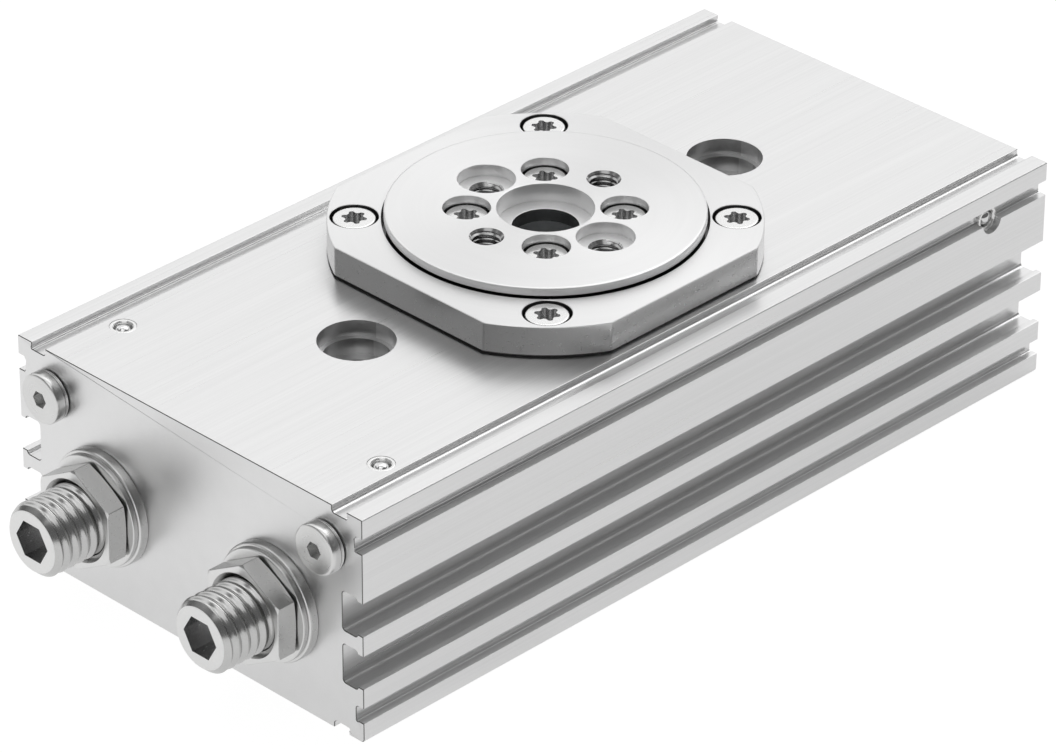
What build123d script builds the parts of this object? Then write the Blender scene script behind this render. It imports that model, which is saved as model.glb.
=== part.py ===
from build123d import *
import os
from math import acos, cos, pi, radians, sin, sqrt, tan

# Semi-rotary actuator: two rack pistons turn a hollow pinion shaft that carries an output table.
# Millimetres. The origin is on the output axis in the base plane, X runs along the body, Z is up.
# The stop screws stand out of the -X end. "near" is the -Y side and "far" is the +Y side.

# Fits
STATIC_GAP = 0.02
RUNNING_GAP = 0.05
OVERCUT = 1.0

# Housing
BODY_LENGTH = 149.0
BODY_WIDTH = 73.6
BODY_HEIGHT = 38.0
BODY_CORNER_R = 0.7
HALF_LENGTH = BODY_LENGTH / 2
HALF_WIDTH = BODY_WIDTH / 2

# Slots along the sides and grooves along all four faces
SLOT_HEIGHTS = (21.1, 12.1)
SLOT_OPENING = 5.6
SLOT_INSIDE = 6.7
SLOT_LIP = 1.1
SLOT_DEPTH = 4.23
SLOT_CORNER_R = 0.6
SIDE_GROOVE_HEIGHTS = (BODY_HEIGHT - 4.5, 4.65)
SIDE_GROOVE_WIDTH = 2.55
SIDE_GROOVE_DEPTH = 1.6
FACE_GROOVE_Y = HALF_WIDTH - 4.65
FACE_GROOVE_WIDTH = 3.0
FACE_GROOVE_DEPTH = 1.2
GROOVE_CORNER_R = 0.55
GROOVE_NOTCH_R = 0.28

# Rack and pinion
MODULE = 1.0
PINION_TEETH = 24
PRESSURE_ANGLE = radians(20.0)
BACKLASH = 0.06
RACK_TEETH = 16
FLANK_POINTS = 6
TABLE_SWING = radians(90.0)
PITCH_R = MODULE * PINION_TEETH / 2
PINION_TIP_R = PITCH_R + MODULE
PINION_ROOT_R = PITCH_R - 1.25 * MODULE
PINION_WIDTH = 10.0
PITCH = pi * MODULE
RACK_TOOTH_SPACES = RACK_TEETH + 1
TRAVEL = PITCH_R * TABLE_SWING

# Cylinders and pistons
BORE_R = 8.0
CYLINDER_Z = 16.35
RACK_OFFSET = 6.2
CYLINDER_Y = PITCH_R + RACK_OFFSET
RACK_BAR_R = BORE_R - 0.4
PISTON_HALF = 38.5
HEAD_START = 28.0
GUIDE_START = 28.9
GUIDE_WIDTH = 2.4
MAGNET_START = 31.9
MAGNET_WIDTH = 1.6
SEAL_START = 34.2
SEAL_WIDTH = 2.5
RING_BED_R = BORE_R - 1.8
END_BORE_R = 9.0
END_BORE_DEPTH = 15.5

# Shaft, bearings and table
CAVITY_R = PINION_TIP_R + 1.0
SHAFT_BORE_R = 5.15
SHAFT_END_Z = 1.7
LOWER_BEARING_Z = 3.0
LOWER_BEARING_WIDTH = 5.0
LOWER_BEARING_R = 13.0
LOWER_JOURNAL_R = 8.5
LOWER_BALL_R = 1.5
LOWER_BALLS = 11
BASE_OPENING_R = 12.2
BASE_RECESS_R = 14.0
BASE_RECESS_DEPTH = 1.5
RETAINER_WIDTH = 1.0
RETAINER_R = 10.8
RETAINER_BED_R = LOWER_JOURNAL_R - 0.4
UPPER_BEARING_WIDTH = 7.0
UPPER_BEARING_Z = BODY_HEIGHT - UPPER_BEARING_WIDTH
UPPER_BEARING_R = 23.5
UPPER_JOURNAL_R = 17.5
UPPER_BALL_R = 2.1
UPPER_BALLS = 16
RING_WALL = 1.9
LOWER_RING_WALL = 1.5
FLANGE_WIDTH = 1.8
FLANGE_R = UPPER_JOURNAL_R + RING_WALL
NECK_R = 10.5
SHOULDER_R = 9.8
PILOT_R = 9.0
PILOT_HEIGHT = 1.5
DOWEL_R = 1.5
DOWEL_LENGTH = 8.0
DOWEL_X = 14.8
DOWEL_Y = 6.1

COVER_HEIGHT = 5.2
TABLE_RISE = 1.6
COVER_TOP_Z = BODY_HEIGHT + COVER_HEIGHT
TABLE_TOP_Z = COVER_TOP_Z + TABLE_RISE
TABLE_R = 24.65
TABLE_RIM = 1.3
TABLE_RELIEF = 0.35
TABLE_EDGE = 0.2
TABLE_FLOAT = 0.3
CENTRE_BORE_R = 7.5
CENTRE_BORE_DEPTH = 3.1
TABLE_HOLE_PITCH_R = 12.7
SLEEVE_RECESS_R = 4.5
SLEEVE_RECESS_DEPTH = 2.0
TABLE_THREAD_R = 2.1
TABLE_THREAD_MOUTH = 0.45
TABLE_SCREW_PITCH_R = 12.0
TABLE_SCREW_SINK = 1.35
TABLE_COUNTERBORE_R = 3.7

# Bearing cover
COVER_HALF = TABLE_R + 4.65
COVER_REACH = TABLE_R + 8.65
COVER_EDGE = 0.25
COVER_FOOT = 0.3
COVER_BORE_R = TABLE_R + TABLE_RELIEF
COVER_LIP = 1.6
COVER_LIP_R = 21.0
COVER_SCREW_PITCH_R = TABLE_R + 4.45
COVER_COUNTERBORE_R = 3.65
COVER_SCREW_SINK = 0.2
SHAFT_SEAL_WIDTH = 1.0

# M4 screws of the table and the cover
SCREW_HEAD_R = 3.4
SCREW_HEAD_HEIGHT = 2.6
SCREW_HEAD_EDGE = 0.25
SCREW_SHANK_R = 1.65
SCREW_CLEAR_R = 2.2
SCREW_GRIP = 7.0
SCREW_SOCKET_R = 1.6
SCREW_SOCKET_DEPTH = 1.7

# Mounting holes on the top
MOUNT_HALF_SPACING = 40.0
MOUNT_SLEEVE_R = 6.0
MOUNT_SLEEVE_DEPTH = 2.7
MOUNT_HEAD_R = 5.2
MOUNT_HEAD_DEPTH = 5.3
MOUNT_HOLE_R = 3.3

# Stop sets at the -X end
STOP_CLEARANCE = 0.15
STOP_THREAD_R = 6.0
STOP_PITCH = 1.75
STOP_OUTSIDE = 14.6
STOP_END_R = 5.0
STOP_END_CHAMFER = 1.0
STOP_SOCKET_AF = 6.0
STOP_SOCKET_DEPTH = 6.0
COLLAR_R = 9.5
COLLAR_WIDTH = 1.65
COLLAR_EDGE = 0.4
BUSHING_BODY = 8.0
BUSHING_LENGTH = 15.0
BUSHING_NOSE_R = 7.6
WASHER_R = 9.05
WASHER_WIDTH = 0.9
WASHER_EDGE = 0.2
NUT_AF = 15.0
NUT_WIDTH = 3.65
NUT_MOUTH = 0.8
NUT_FACE_R = 8.2
NUT_FACE_SLOPE = radians(30.0)
NUT_BACK_R = 6.9
NUT_BACK_SLOPE = radians(15.0)
BUFFER_HEAD_R = 5.2
BUFFER_HEAD = 4.5
BUFFER_STEM_R = 3.15
BUFFER_STEM = 5.0

# Rear caps at the +X end
CAP_SINK = 1.0
CAP_BODY = 4.5
CAP_NOSE_GAP = 0.65
CAP_SOCKET_AF = 8.0
CAP_SOCKET_DEPTH = 3.0
CAP_SEAL_WIDTH = 1.8
END_SEAL_BED = 1.0

# Air channels, ports and plugs
CHANNEL_R = 1.5
PORT_Y = CYLINDER_Y + 11.25
PORT_Z = BODY_HEIGHT - 7.15
PORT_R = 2.1
PORT_DEPTH = 9.0
PLUG_HEAD_R = 4.1
PLUG_HEAD = 2.0
PLUG_EDGE = 0.35
PLUG_SHANK = 5.0
PLUG_SEAL = 0.5
PLUG_SEAL_R = 3.85
PLUG_SOCKET_AF = 2.5
PLUG_SOCKET_DEPTH = 1.6
BALL_PLUG_R = 2.1
BALL_PLUG_LENGTH = 3.8
BALL_PLUG_SINK = 1.0
BALL_SEAT_R = 1.4
BALL_DEPTH = 1.3
TOP_PLUG_X = HALF_LENGTH - 12.8
TOP_PLUG_Y = CYLINDER_Y + END_BORE_R + 0.4
NEAR_CROSS_X = HALF_LENGTH - 12.8
FAR_CROSS_X = HALF_LENGTH - 7.5
CROSS_Z = BODY_HEIGHT - 5.5

SIDES = (("near", -1), ("far", 1))


def bar_z(radius, low, high, x=0.0, y=0.0):
    """Round bar standing between two heights."""
    return Pos(x, y, (low + high) / 2) * Cylinder(radius, high - low)


def bar_x(radius, low, high, y, z):
    """Round bar lying along X between two lengthwise positions."""
    return Pos((low + high) / 2, y, z) * Rot(0, 90, 0) * Cylinder(radius, high - low)


def bar_y(radius, low, high, x, z):
    """Round bar lying across the body between two sideways positions."""
    return Pos(x, (low + high) / 2, z) * Rot(90, 0, 0) * Cylinder(radius, high - low)


def ring_z(inner, outer, low, high):
    """Flat-walled ring around the output axis."""
    return bar_z(outer, low, high) - bar_z(inner, low - OVERCUT, high + OVERCUT)


def ring_x(inner, outer, low, high, y):
    """Flat-walled ring around one cylinder axis."""
    outside = bar_x(outer, low, high, y, CYLINDER_Z)
    return outside - bar_x(inner, low - OVERCUT, high + OVERCUT, y, CYLINDER_Z)


def hexagon_x(across_flats, low, high, y, z, turn):
    """Hexagonal bar along X; turn 0 has flats up and down, turn 30 has corners up and down."""
    outline = RegularPolygon(across_flats / sqrt(3), 6, rotation=turn)
    return Pos(low, y, z) * (Plane.YZ * extrude(outline, high - low))


def diagonal_points(radius):
    """The four points on the diagonals at one radius."""
    reach = radius / sqrt(2)
    return [(reach * i, reach * j) for i in (-1, 1) for j in (-1, 1)]


def edges_at_x(shape, x):
    """Edges that lie wholly in one plane across the body."""
    return shape.edges().filter_by_position(Axis.X, x - 1e-3, x + 1e-3)


def edges_at_z(shape, z):
    """Edges that lie wholly at one height."""
    return shape.edges().filter_by_position(Axis.Z, z - 1e-3, z + 1e-3)


def slot_outline(height):
    """Side slot with two lips, open through the far face."""
    inside_depth = SLOT_DEPTH - SLOT_LIP
    inside_y = HALF_WIDTH - SLOT_LIP - inside_depth / 2
    inside = RectangleRounded(inside_depth, SLOT_INSIDE, SLOT_CORNER_R)
    mouth_y = HALF_WIDTH - SLOT_DEPTH / 2 + OVERCUT
    mouth = Rectangle(SLOT_DEPTH, SLOT_OPENING)
    return Pos(inside_y, height) * inside + Pos(mouth_y, height) * mouth


def side_groove_outline(height):
    """Shallow groove of the far face, rounded inside, with a notch at its lower corner."""
    reach = 2 * SIDE_GROOVE_DEPTH
    groove = Pos(HALF_WIDTH, height) * RectangleRounded(reach, SIDE_GROOVE_WIDTH, GROOVE_CORNER_R)
    notch_y = HALF_WIDTH - SIDE_GROOVE_DEPTH + GROOVE_NOTCH_R
    notch_z = height - SIDE_GROOVE_WIDTH / 2 + GROOVE_NOTCH_R / 2
    return groove + Pos(notch_y, notch_z) * Circle(GROOVE_NOTCH_R)


def face_groove_outline(face_height, outward):
    """Shallow groove of the top or the base, on the far half."""
    reach = 2 * FACE_GROOVE_DEPTH
    groove = RectangleRounded(FACE_GROOVE_WIDTH, reach, GROOVE_CORNER_R)
    notch_y = FACE_GROOVE_Y + FACE_GROOVE_WIDTH / 2 - GROOVE_NOTCH_R / 2
    notch_z = face_height - outward * (FACE_GROOVE_DEPTH - GROOVE_NOTCH_R)
    return Pos(FACE_GROOVE_Y, face_height) * groove + Pos(notch_y, notch_z) * Circle(GROOVE_NOTCH_R)


def slotted_bar():
    """The extruded bar that the housing is machined from."""
    middle = BODY_HEIGHT / 2
    outline = Pos(0, middle) * RectangleRounded(BODY_WIDTH, BODY_HEIGHT, BODY_CORNER_R)
    cuts = [slot_outline(height) for height in SLOT_HEIGHTS]
    cuts += [side_groove_outline(height) for height in SIDE_GROOVE_HEIGHTS]
    cuts += [face_groove_outline(BODY_HEIGHT, 1), face_groove_outline(0, -1)]
    for cut in cuts:
        outline -= cut
        outline -= mirror(cut, Plane.YZ)
    return extrude(Plane.YZ * outline, HALF_LENGTH, both=True)


def cylinder_space(side):
    """Bore of one cylinder with its wider ends."""
    y = side * CYLINDER_Y
    space = bar_x(BORE_R, -HALF_LENGTH - OVERCUT, HALF_LENGTH + OVERCUT, y, CYLINDER_Z)
    inner = HALF_LENGTH - END_BORE_DEPTH
    for end in (-1, 1):
        low, high = sorted((end * inner, end * (HALF_LENGTH + OVERCUT)))
        space += bar_x(END_BORE_R, low, high, y, CYLINDER_Z)
    return space


def shaft_space():
    """Cavity of the pinion with both bearing seats."""
    lower_top = LOWER_BEARING_Z + LOWER_BEARING_WIDTH
    flange_low = UPPER_BEARING_Z - FLANGE_WIDTH - 0.7
    space = bar_z(BASE_RECESS_R, -OVERCUT, BASE_RECESS_DEPTH)
    space += bar_z(BASE_OPENING_R, BASE_RECESS_DEPTH, LOWER_BEARING_Z)
    space += bar_z(LOWER_BEARING_R, LOWER_BEARING_Z, lower_top)
    space += bar_z(CAVITY_R, lower_top, flange_low)
    space += bar_z(UPPER_BEARING_R - RING_WALL, flange_low, UPPER_BEARING_Z)
    return space + bar_z(UPPER_BEARING_R, UPPER_BEARING_Z, BODY_HEIGHT + OVERCUT)


def air_space(side):
    """Ports and channels of one side: along the body, down to the front chamber, across to the rear."""
    y = side * PORT_Y
    space = bar_x(CHANNEL_R, -HALF_LENGTH, HALF_LENGTH, y, PORT_Z)
    for end in (-1, 1):
        low, high = sorted((end * (HALF_LENGTH - PORT_DEPTH), end * (HALF_LENGTH + OVERCUT)))
        space += bar_x(PORT_R, low, high, y, PORT_Z)
    plug_bottom = BODY_HEIGHT - BALL_PLUG_LENGTH - STATIC_GAP
    plug_y = side * TOP_PLUG_Y
    space += bar_z(BALL_PLUG_R, plug_bottom, BODY_HEIGHT + OVERCUT, -TOP_PLUG_X, plug_y)
    space += bar_z(CHANNEL_R, CYLINDER_Z, plug_bottom, -TOP_PLUG_X, plug_y)
    cross_x = NEAR_CROSS_X if side < 0 else FAR_CROSS_X
    low, high = sorted((side * HALF_WIDTH, -side * CYLINDER_Y))
    space += bar_y(CHANNEL_R, low, high, cross_x, CROSS_Z)
    plug_depth = BALL_PLUG_SINK + BALL_PLUG_LENGTH + STATIC_GAP
    low, high = sorted((side * (HALF_WIDTH - plug_depth), side * (HALF_WIDTH + OVERCUT)))
    space += bar_y(BALL_PLUG_R, low, high, cross_x, CROSS_Z)
    return space + bar_z(CHANNEL_R, CYLINDER_Z + BORE_R, CROSS_Z, cross_x, -side * CYLINDER_Y)


def mounting_space(x):
    """One mounting hole with its sleeve recess and head recess."""
    space = bar_z(MOUNT_HOLE_R, -OVERCUT, BODY_HEIGHT, x)
    space += bar_z(MOUNT_HEAD_R, BODY_HEIGHT - MOUNT_HEAD_DEPTH, BODY_HEIGHT, x)
    return space + bar_z(MOUNT_SLEEVE_R, BODY_HEIGHT - MOUNT_SLEEVE_DEPTH, BODY_HEIGHT + OVERCUT, x)


def housing():
    """Slotted bar with every space of the mechanism cut out of it."""
    body = slotted_bar()
    for side in (-1, 1):
        body -= cylinder_space(side)
        body -= air_space(side)
        body -= mounting_space(side * MOUNT_HALF_SPACING)
    body -= shaft_space()
    screw_bottom = COVER_TOP_Z - COVER_SCREW_SINK - SCREW_HEAD_HEIGHT - SCREW_GRIP - OVERCUT
    for x, y in diagonal_points(COVER_SCREW_PITCH_R):
        body -= bar_z(SCREW_SHANK_R + STATIC_GAP, screw_bottom, BODY_HEIGHT + OVERCUT, x, y)
    return body


def screw_space(x, y, top, sink, counterbore_r, bottom):
    """Counterbore and clearance hole for one screw."""
    seat = top - sink - SCREW_HEAD_HEIGHT
    space = bar_z(counterbore_r, seat, top + OVERCUT, x, y)
    return space + bar_z(SCREW_CLEAR_R, bottom - OVERCUT, seat, x, y)


def cover_block(inset, low, high):
    """Square block with arched corners, inset all round."""
    width = 2 * (COVER_HALF - inset)
    block = Pos(0, 0, (low + high) / 2) * Box(width, width, high - low)
    return block & bar_z(COVER_REACH - inset, low, high)


def bearing_cover():
    """Square cover with arched corners around the output table, on a slightly smaller foot."""
    foot_top = BODY_HEIGHT + COVER_FOOT
    cover = chamfer(edges_at_z(cover_block(0.0, foot_top, COVER_TOP_Z), COVER_TOP_Z), COVER_EDGE)
    cover += cover_block(COVER_FOOT, BODY_HEIGHT, foot_top)
    cover -= bar_z(COVER_LIP_R, BODY_HEIGHT - OVERCUT, COVER_TOP_Z)
    cover -= bar_z(COVER_BORE_R, BODY_HEIGHT + COVER_LIP, COVER_TOP_Z + OVERCUT)
    for x, y in diagonal_points(COVER_SCREW_PITCH_R):
        cover -= screw_space(x, y, COVER_TOP_Z, COVER_SCREW_SINK, COVER_COUNTERBORE_R, BODY_HEIGHT)
    return cover


def screw(x, y, head_top):
    """Low-head screw; its driver socket is drawn as a plain hole."""
    seat = head_top - SCREW_HEAD_HEIGHT
    head = bar_z(SCREW_HEAD_R, seat, head_top, x, y)
    head = fillet(edges_at_z(head, head_top), SCREW_HEAD_EDGE)
    body = head + bar_z(SCREW_SHANK_R, seat - SCREW_GRIP, seat, x, y)
    return body - bar_z(SCREW_SOCKET_R, head_top - SCREW_SOCKET_DEPTH, head_top + OVERCUT, x, y)


def cover_screws():
    """Four screws of the bearing cover."""
    head_top = COVER_TOP_Z - COVER_SCREW_SINK
    return Compound([screw(x, y, head_top) for x, y in diagonal_points(COVER_SCREW_PITCH_R)])


def table_screws():
    """Four screws of the output table."""
    head_top = TABLE_TOP_Z - TABLE_SCREW_SINK
    return Compound([screw(x, y, head_top) for x, y in diagonal_points(TABLE_SCREW_PITCH_R)])


def dowel_pin():
    """Pin that carries the torque between the shaft and the table."""
    return bar_z(DOWEL_R, BODY_HEIGHT - DOWEL_LENGTH / 2, BODY_HEIGHT + DOWEL_LENGTH / 2, DOWEL_X, DOWEL_Y)


def dowel_space():
    """Hole for the dowel pin in both pieces that it joins."""
    reach = DOWEL_LENGTH / 2 + STATIC_GAP
    return bar_z(DOWEL_R + STATIC_GAP, BODY_HEIGHT - reach, BODY_HEIGHT + reach, DOWEL_X, DOWEL_Y)


def table():
    """Output table: rimmed disc with a centring bore, four mounting threads and two sleeve recesses."""
    rim_low = TABLE_TOP_Z - TABLE_RIM
    float_z = BODY_HEIGHT + COVER_LIP + TABLE_FLOAT
    neck_r = COVER_LIP_R - SHAFT_SEAL_WIDTH
    rim = chamfer(edges_at_z(bar_z(TABLE_R, rim_low, TABLE_TOP_Z), TABLE_TOP_Z), TABLE_EDGE)
    disc = rim + bar_z(TABLE_R - TABLE_RELIEF, float_z, rim_low) + bar_z(neck_r, BODY_HEIGHT, float_z)
    disc -= bar_z(SHAFT_BORE_R, BODY_HEIGHT - OVERCUT, TABLE_TOP_Z)
    disc -= bar_z(CENTRE_BORE_R, TABLE_TOP_Z - CENTRE_BORE_DEPTH, TABLE_TOP_Z + OVERCUT)
    disc -= bar_z(PILOT_R + STATIC_GAP, BODY_HEIGHT - OVERCUT, BODY_HEIGHT + PILOT_HEIGHT + STATIC_GAP)
    disc -= dowel_space()
    for x, y in diagonal_points(TABLE_SCREW_PITCH_R):
        disc -= screw_space(x, y, TABLE_TOP_Z, TABLE_SCREW_SINK, TABLE_COUNTERBORE_R, BODY_HEIGHT)
    mouth_r = TABLE_THREAD_R + TABLE_THREAD_MOUTH
    for step in range(4):
        angle = step * pi / 2
        x = TABLE_HOLE_PITCH_R * cos(angle)
        y = TABLE_HOLE_PITCH_R * sin(angle)
        has_sleeve = step % 2 == 1
        mouth_z = TABLE_TOP_Z - (SLEEVE_RECESS_DEPTH if has_sleeve else 0.0)
        disc -= bar_z(TABLE_THREAD_R, BODY_HEIGHT - OVERCUT, mouth_z, x, y)
        mouth = Cone(TABLE_THREAD_R, mouth_r, TABLE_THREAD_MOUTH)
        disc -= Pos(x, y, mouth_z - TABLE_THREAD_MOUTH / 2) * mouth
        if has_sleeve:
            disc -= bar_z(SLEEVE_RECESS_R, mouth_z, TABLE_TOP_Z + OVERCUT, x, y)
    return disc


def involute(radius):
    """Angle that the involute has turned through where it reaches a radius."""
    pressure = acos(PITCH_R * cos(PRESSURE_ANGLE) / radius)
    return tan(pressure) - pressure


def pinion_outline():
    """Involute gear outline with one tooth pointing along +X."""
    base_r = PITCH_R * cos(PRESSURE_ANGLE)
    half_tooth = (PITCH - 2 * BACKLASH) / (4 * PITCH_R) + involute(PITCH_R)
    radii = [base_r + (PINION_TIP_R - base_r) * i / (FLANK_POINTS - 1) for i in range(FLANK_POINTS)]
    flank = [(PINION_ROOT_R, half_tooth)] + [(radius, half_tooth - involute(radius)) for radius in radii]
    points = []
    for tooth in range(PINION_TEETH):
        middle = 2 * pi * tooth / PINION_TEETH
        turned = [(radius, middle - angle) for radius, angle in flank]
        turned += [(radius, middle + angle) for radius, angle in reversed(flank)]
        points += [(radius * cos(angle), radius * sin(angle)) for radius, angle in turned]
    return make_face(Polyline(points, close=True))


def pinion_shaft():
    """Hollow shaft with the pinion, both journals and the pilot of the table."""
    low = CYLINDER_Z - PINION_WIDTH / 2
    high = CYLINDER_Z + PINION_WIDTH / 2
    journal_top = LOWER_BEARING_Z + LOWER_BEARING_WIDTH
    flange_low = UPPER_BEARING_Z - FLANGE_WIDTH
    shaft = Pos(0, 0, low) * extrude(pinion_outline(), high - low)
    shaft += bar_z(LOWER_JOURNAL_R, SHAFT_END_Z, journal_top)
    shaft += bar_z(SHOULDER_R, journal_top, low)
    shaft += bar_z(NECK_R, high, flange_low)
    shaft += bar_z(FLANGE_R, flange_low, UPPER_BEARING_Z)
    shaft += bar_z(UPPER_JOURNAL_R, UPPER_BEARING_Z, BODY_HEIGHT)
    shaft += bar_z(PILOT_R, BODY_HEIGHT, BODY_HEIGHT + PILOT_HEIGHT)
    retainer_low = LOWER_BEARING_Z - RETAINER_WIDTH
    shaft -= ring_z(RETAINER_BED_R, LOWER_JOURNAL_R + OVERCUT, retainer_low, LOWER_BEARING_Z)
    shaft -= bar_z(SHAFT_BORE_R, -OVERCUT, TABLE_TOP_Z)
    shaft -= dowel_space()
    head_seat = TABLE_TOP_Z - TABLE_SCREW_SINK - SCREW_HEAD_HEIGHT
    for x, y in diagonal_points(TABLE_SCREW_PITCH_R):
        shaft -= bar_z(SCREW_SHANK_R + STATIC_GAP, head_seat - SCREW_GRIP - OVERCUT, BODY_HEIGHT + OVERCUT, x, y)
    return shaft


def retaining_ring():
    """Snap ring under the lower bearing, open on one side."""
    low = LOWER_BEARING_Z - RETAINER_WIDTH
    ring = ring_z(RETAINER_BED_R + STATIC_GAP, RETAINER_R, low + STATIC_GAP, LOWER_BEARING_Z - STATIC_GAP)
    opening = Pos(RETAINER_R, 0, low) * Box(2 * RETAINER_R, 2 * RETAINER_WIDTH, 4 * RETAINER_WIDTH)
    return ring - opening


def bearing(inner_r, outer_r, wall, ball_r, balls, low, width):
    """Outer ring, inner ring and ball set of one bearing."""
    race_r = (inner_r + outer_r) / 2
    middle = low + width / 2
    groove = Pos(0, 0, middle) * Torus(race_r, ball_r + RUNNING_GAP)
    outer = ring_z(outer_r - wall, outer_r - STATIC_GAP, low, low + width) - groove
    inner = ring_z(inner_r + STATIC_GAP, inner_r + wall, low, low + width) - groove
    ball = Pos(race_r, 0, middle) * Sphere(ball_r)
    ball_set = Compound([Rot(0, 0, 360 * i / balls) * ball for i in range(balls)])
    return outer, inner, ball_set


def shaft_seal():
    """Dust seal between the cover and the neck of the table."""
    neck_r = COVER_LIP_R - SHAFT_SEAL_WIDTH
    margin = (COVER_LIP - SHAFT_SEAL_WIDTH) / 2
    low = BODY_HEIGHT + margin
    return ring_z(neck_r + RUNNING_GAP, COVER_LIP_R - STATIC_GAP, low, low + SHAFT_SEAL_WIDTH)


def rack_gap(middle):
    """Space between two rack teeth, seen from above on the far side."""
    half = (PITCH + 2 * BACKLASH) / 4
    slope = tan(PRESSURE_ANGLE)
    tip_y = PITCH_R - MODULE
    root_y = PITCH_R + 1.25 * MODULE
    mouth = half + (MODULE + OVERCUT) * slope
    root = half - 1.25 * MODULE * slope
    corners = [(middle - mouth, tip_y - OVERCUT), (middle + mouth, tip_y - OVERCUT)]
    corners += [(middle + root, root_y), (middle - root, root_y)]
    return make_face(Polyline(corners, close=True))


def rack_piston():
    """Far rack piston: toothed bar between two grooved piston heads."""
    rack = bar_x(RACK_BAR_R, -HEAD_START, HEAD_START, CYLINDER_Y, CYLINDER_Z)
    zone = RACK_TOOTH_SPACES * PITCH
    flat_y = PITCH_R - MODULE
    flat = Pos(0, flat_y - BORE_R / 2, CYLINDER_Z) * Box(zone, BORE_R, 2 * BORE_R)
    first = -RACK_TEETH / 2
    gaps = Sketch() + [rack_gap((first + i) * PITCH) for i in range(RACK_TOOTH_SPACES)]
    rack -= flat
    rack -= Pos(0, 0, CYLINDER_Z) * extrude(gaps, BORE_R, both=True)
    beds = ((GUIDE_START, GUIDE_WIDTH), (MAGNET_START, MAGNET_WIDTH), (SEAL_START, SEAL_WIDTH))
    for end in (-1, 1):
        low, high = sorted((end * HEAD_START, end * PISTON_HALF))
        rack += bar_x(BORE_R - RUNNING_GAP, low, high, CYLINDER_Y, CYLINDER_Z)
        for start, width in beds:
            low, high = sorted((end * start, end * (start + width)))
            rack -= ring_x(RING_BED_R, BORE_R + OVERCUT, low, high, CYLINDER_Y)
    return rack


def piston_rings(start, width, outer_gap):
    """The same ring on both heads of the far rack piston."""
    rings = []
    for end in (-1, 1):
        low, high = sorted((end * (start + STATIC_GAP), end * (start + width - STATIC_GAP)))
        rings.append(ring_x(RING_BED_R + STATIC_GAP, BORE_R - outer_gap, low, high, CYLINDER_Y))
    return Compound(rings)


def bushing():
    """Far stop bushing: collar on the end face, seal bed and nose."""
    y = CYLINDER_Y
    collar_x = -HALF_LENGTH - COLLAR_WIDTH
    collar = bar_x(COLLAR_R, collar_x, -HALF_LENGTH, y, CYLINDER_Z)
    collar = fillet(edges_at_x(collar, collar_x), COLLAR_EDGE)
    body_end = -HALF_LENGTH + BUSHING_BODY
    piece = collar + bar_x(END_BORE_R - STATIC_GAP, -HALF_LENGTH, body_end, y, CYLINDER_Z)
    piece += bar_x(BUSHING_NOSE_R, body_end, -HALF_LENGTH + BUSHING_LENGTH, y, CYLINDER_Z)
    seal_low = body_end - 1.5 * CAP_SEAL_WIDTH
    piece -= ring_x(END_BORE_R - END_SEAL_BED, END_BORE_R + OVERCUT, seal_low, seal_low + CAP_SEAL_WIDTH, y)
    return piece - bar_x(STOP_THREAD_R, collar_x - OVERCUT, 0.0, y, CYLINDER_Z)


def end_seal(low):
    """Far sealing ring of a bushing or a cap."""
    inner = END_BORE_R - END_SEAL_BED + STATIC_GAP
    high = low + CAP_SEAL_WIDTH - STATIC_GAP
    return ring_x(inner, END_BORE_R - STATIC_GAP, low + STATIC_GAP, high, CYLINDER_Y)


def stop_washer():
    """Far washer between the collar and the lock nut."""
    high = -HALF_LENGTH - COLLAR_WIDTH
    low = high - WASHER_WIDTH
    washer = bar_x(WASHER_R, low, high, CYLINDER_Y, CYLINDER_Z)
    washer = fillet(edges_at_x(washer, low), WASHER_EDGE)
    return washer - bar_x(STOP_THREAD_R, low - OVERCUT, high + OVERCUT, CYLINDER_Y, CYLINDER_Z)


def lock_nut():
    """Far lock nut, bevelled at its corners in front and all round at the back."""
    high = -HALF_LENGTH - COLLAR_WIDTH - WASHER_WIDTH
    low = high - NUT_WIDTH
    nut = hexagon_x(NUT_AF, low, high, CYLINDER_Y, CYLINDER_Z, 30)
    front = Cone(NUT_FACE_R + NUT_WIDTH / tan(NUT_FACE_SLOPE), NUT_FACE_R, NUT_WIDTH)
    back = Cone(NUT_BACK_R, NUT_BACK_R + NUT_WIDTH / tan(NUT_BACK_SLOPE), NUT_WIDTH)
    for bevel in (front, back):
        nut &= Pos((low + high) / 2, CYLINDER_Y, CYLINDER_Z) * Rot(0, -90, 0) * bevel
    mouth = Cone(STOP_THREAD_R, STOP_THREAD_R + NUT_MOUTH, NUT_MOUTH)
    nut -= Pos(low + NUT_MOUTH / 2, CYLINDER_Y, CYLINDER_Z) * Rot(0, -90, 0) * mouth
    return nut - bar_x(STOP_THREAD_R, low - OVERCUT, high + OVERCUT, CYLINDER_Y, CYLINDER_Z)


def stop_face():
    """Where a rack piston that has travelled to -X meets its buffer."""
    return -PISTON_HALF - TRAVEL - STOP_CLEARANCE


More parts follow.
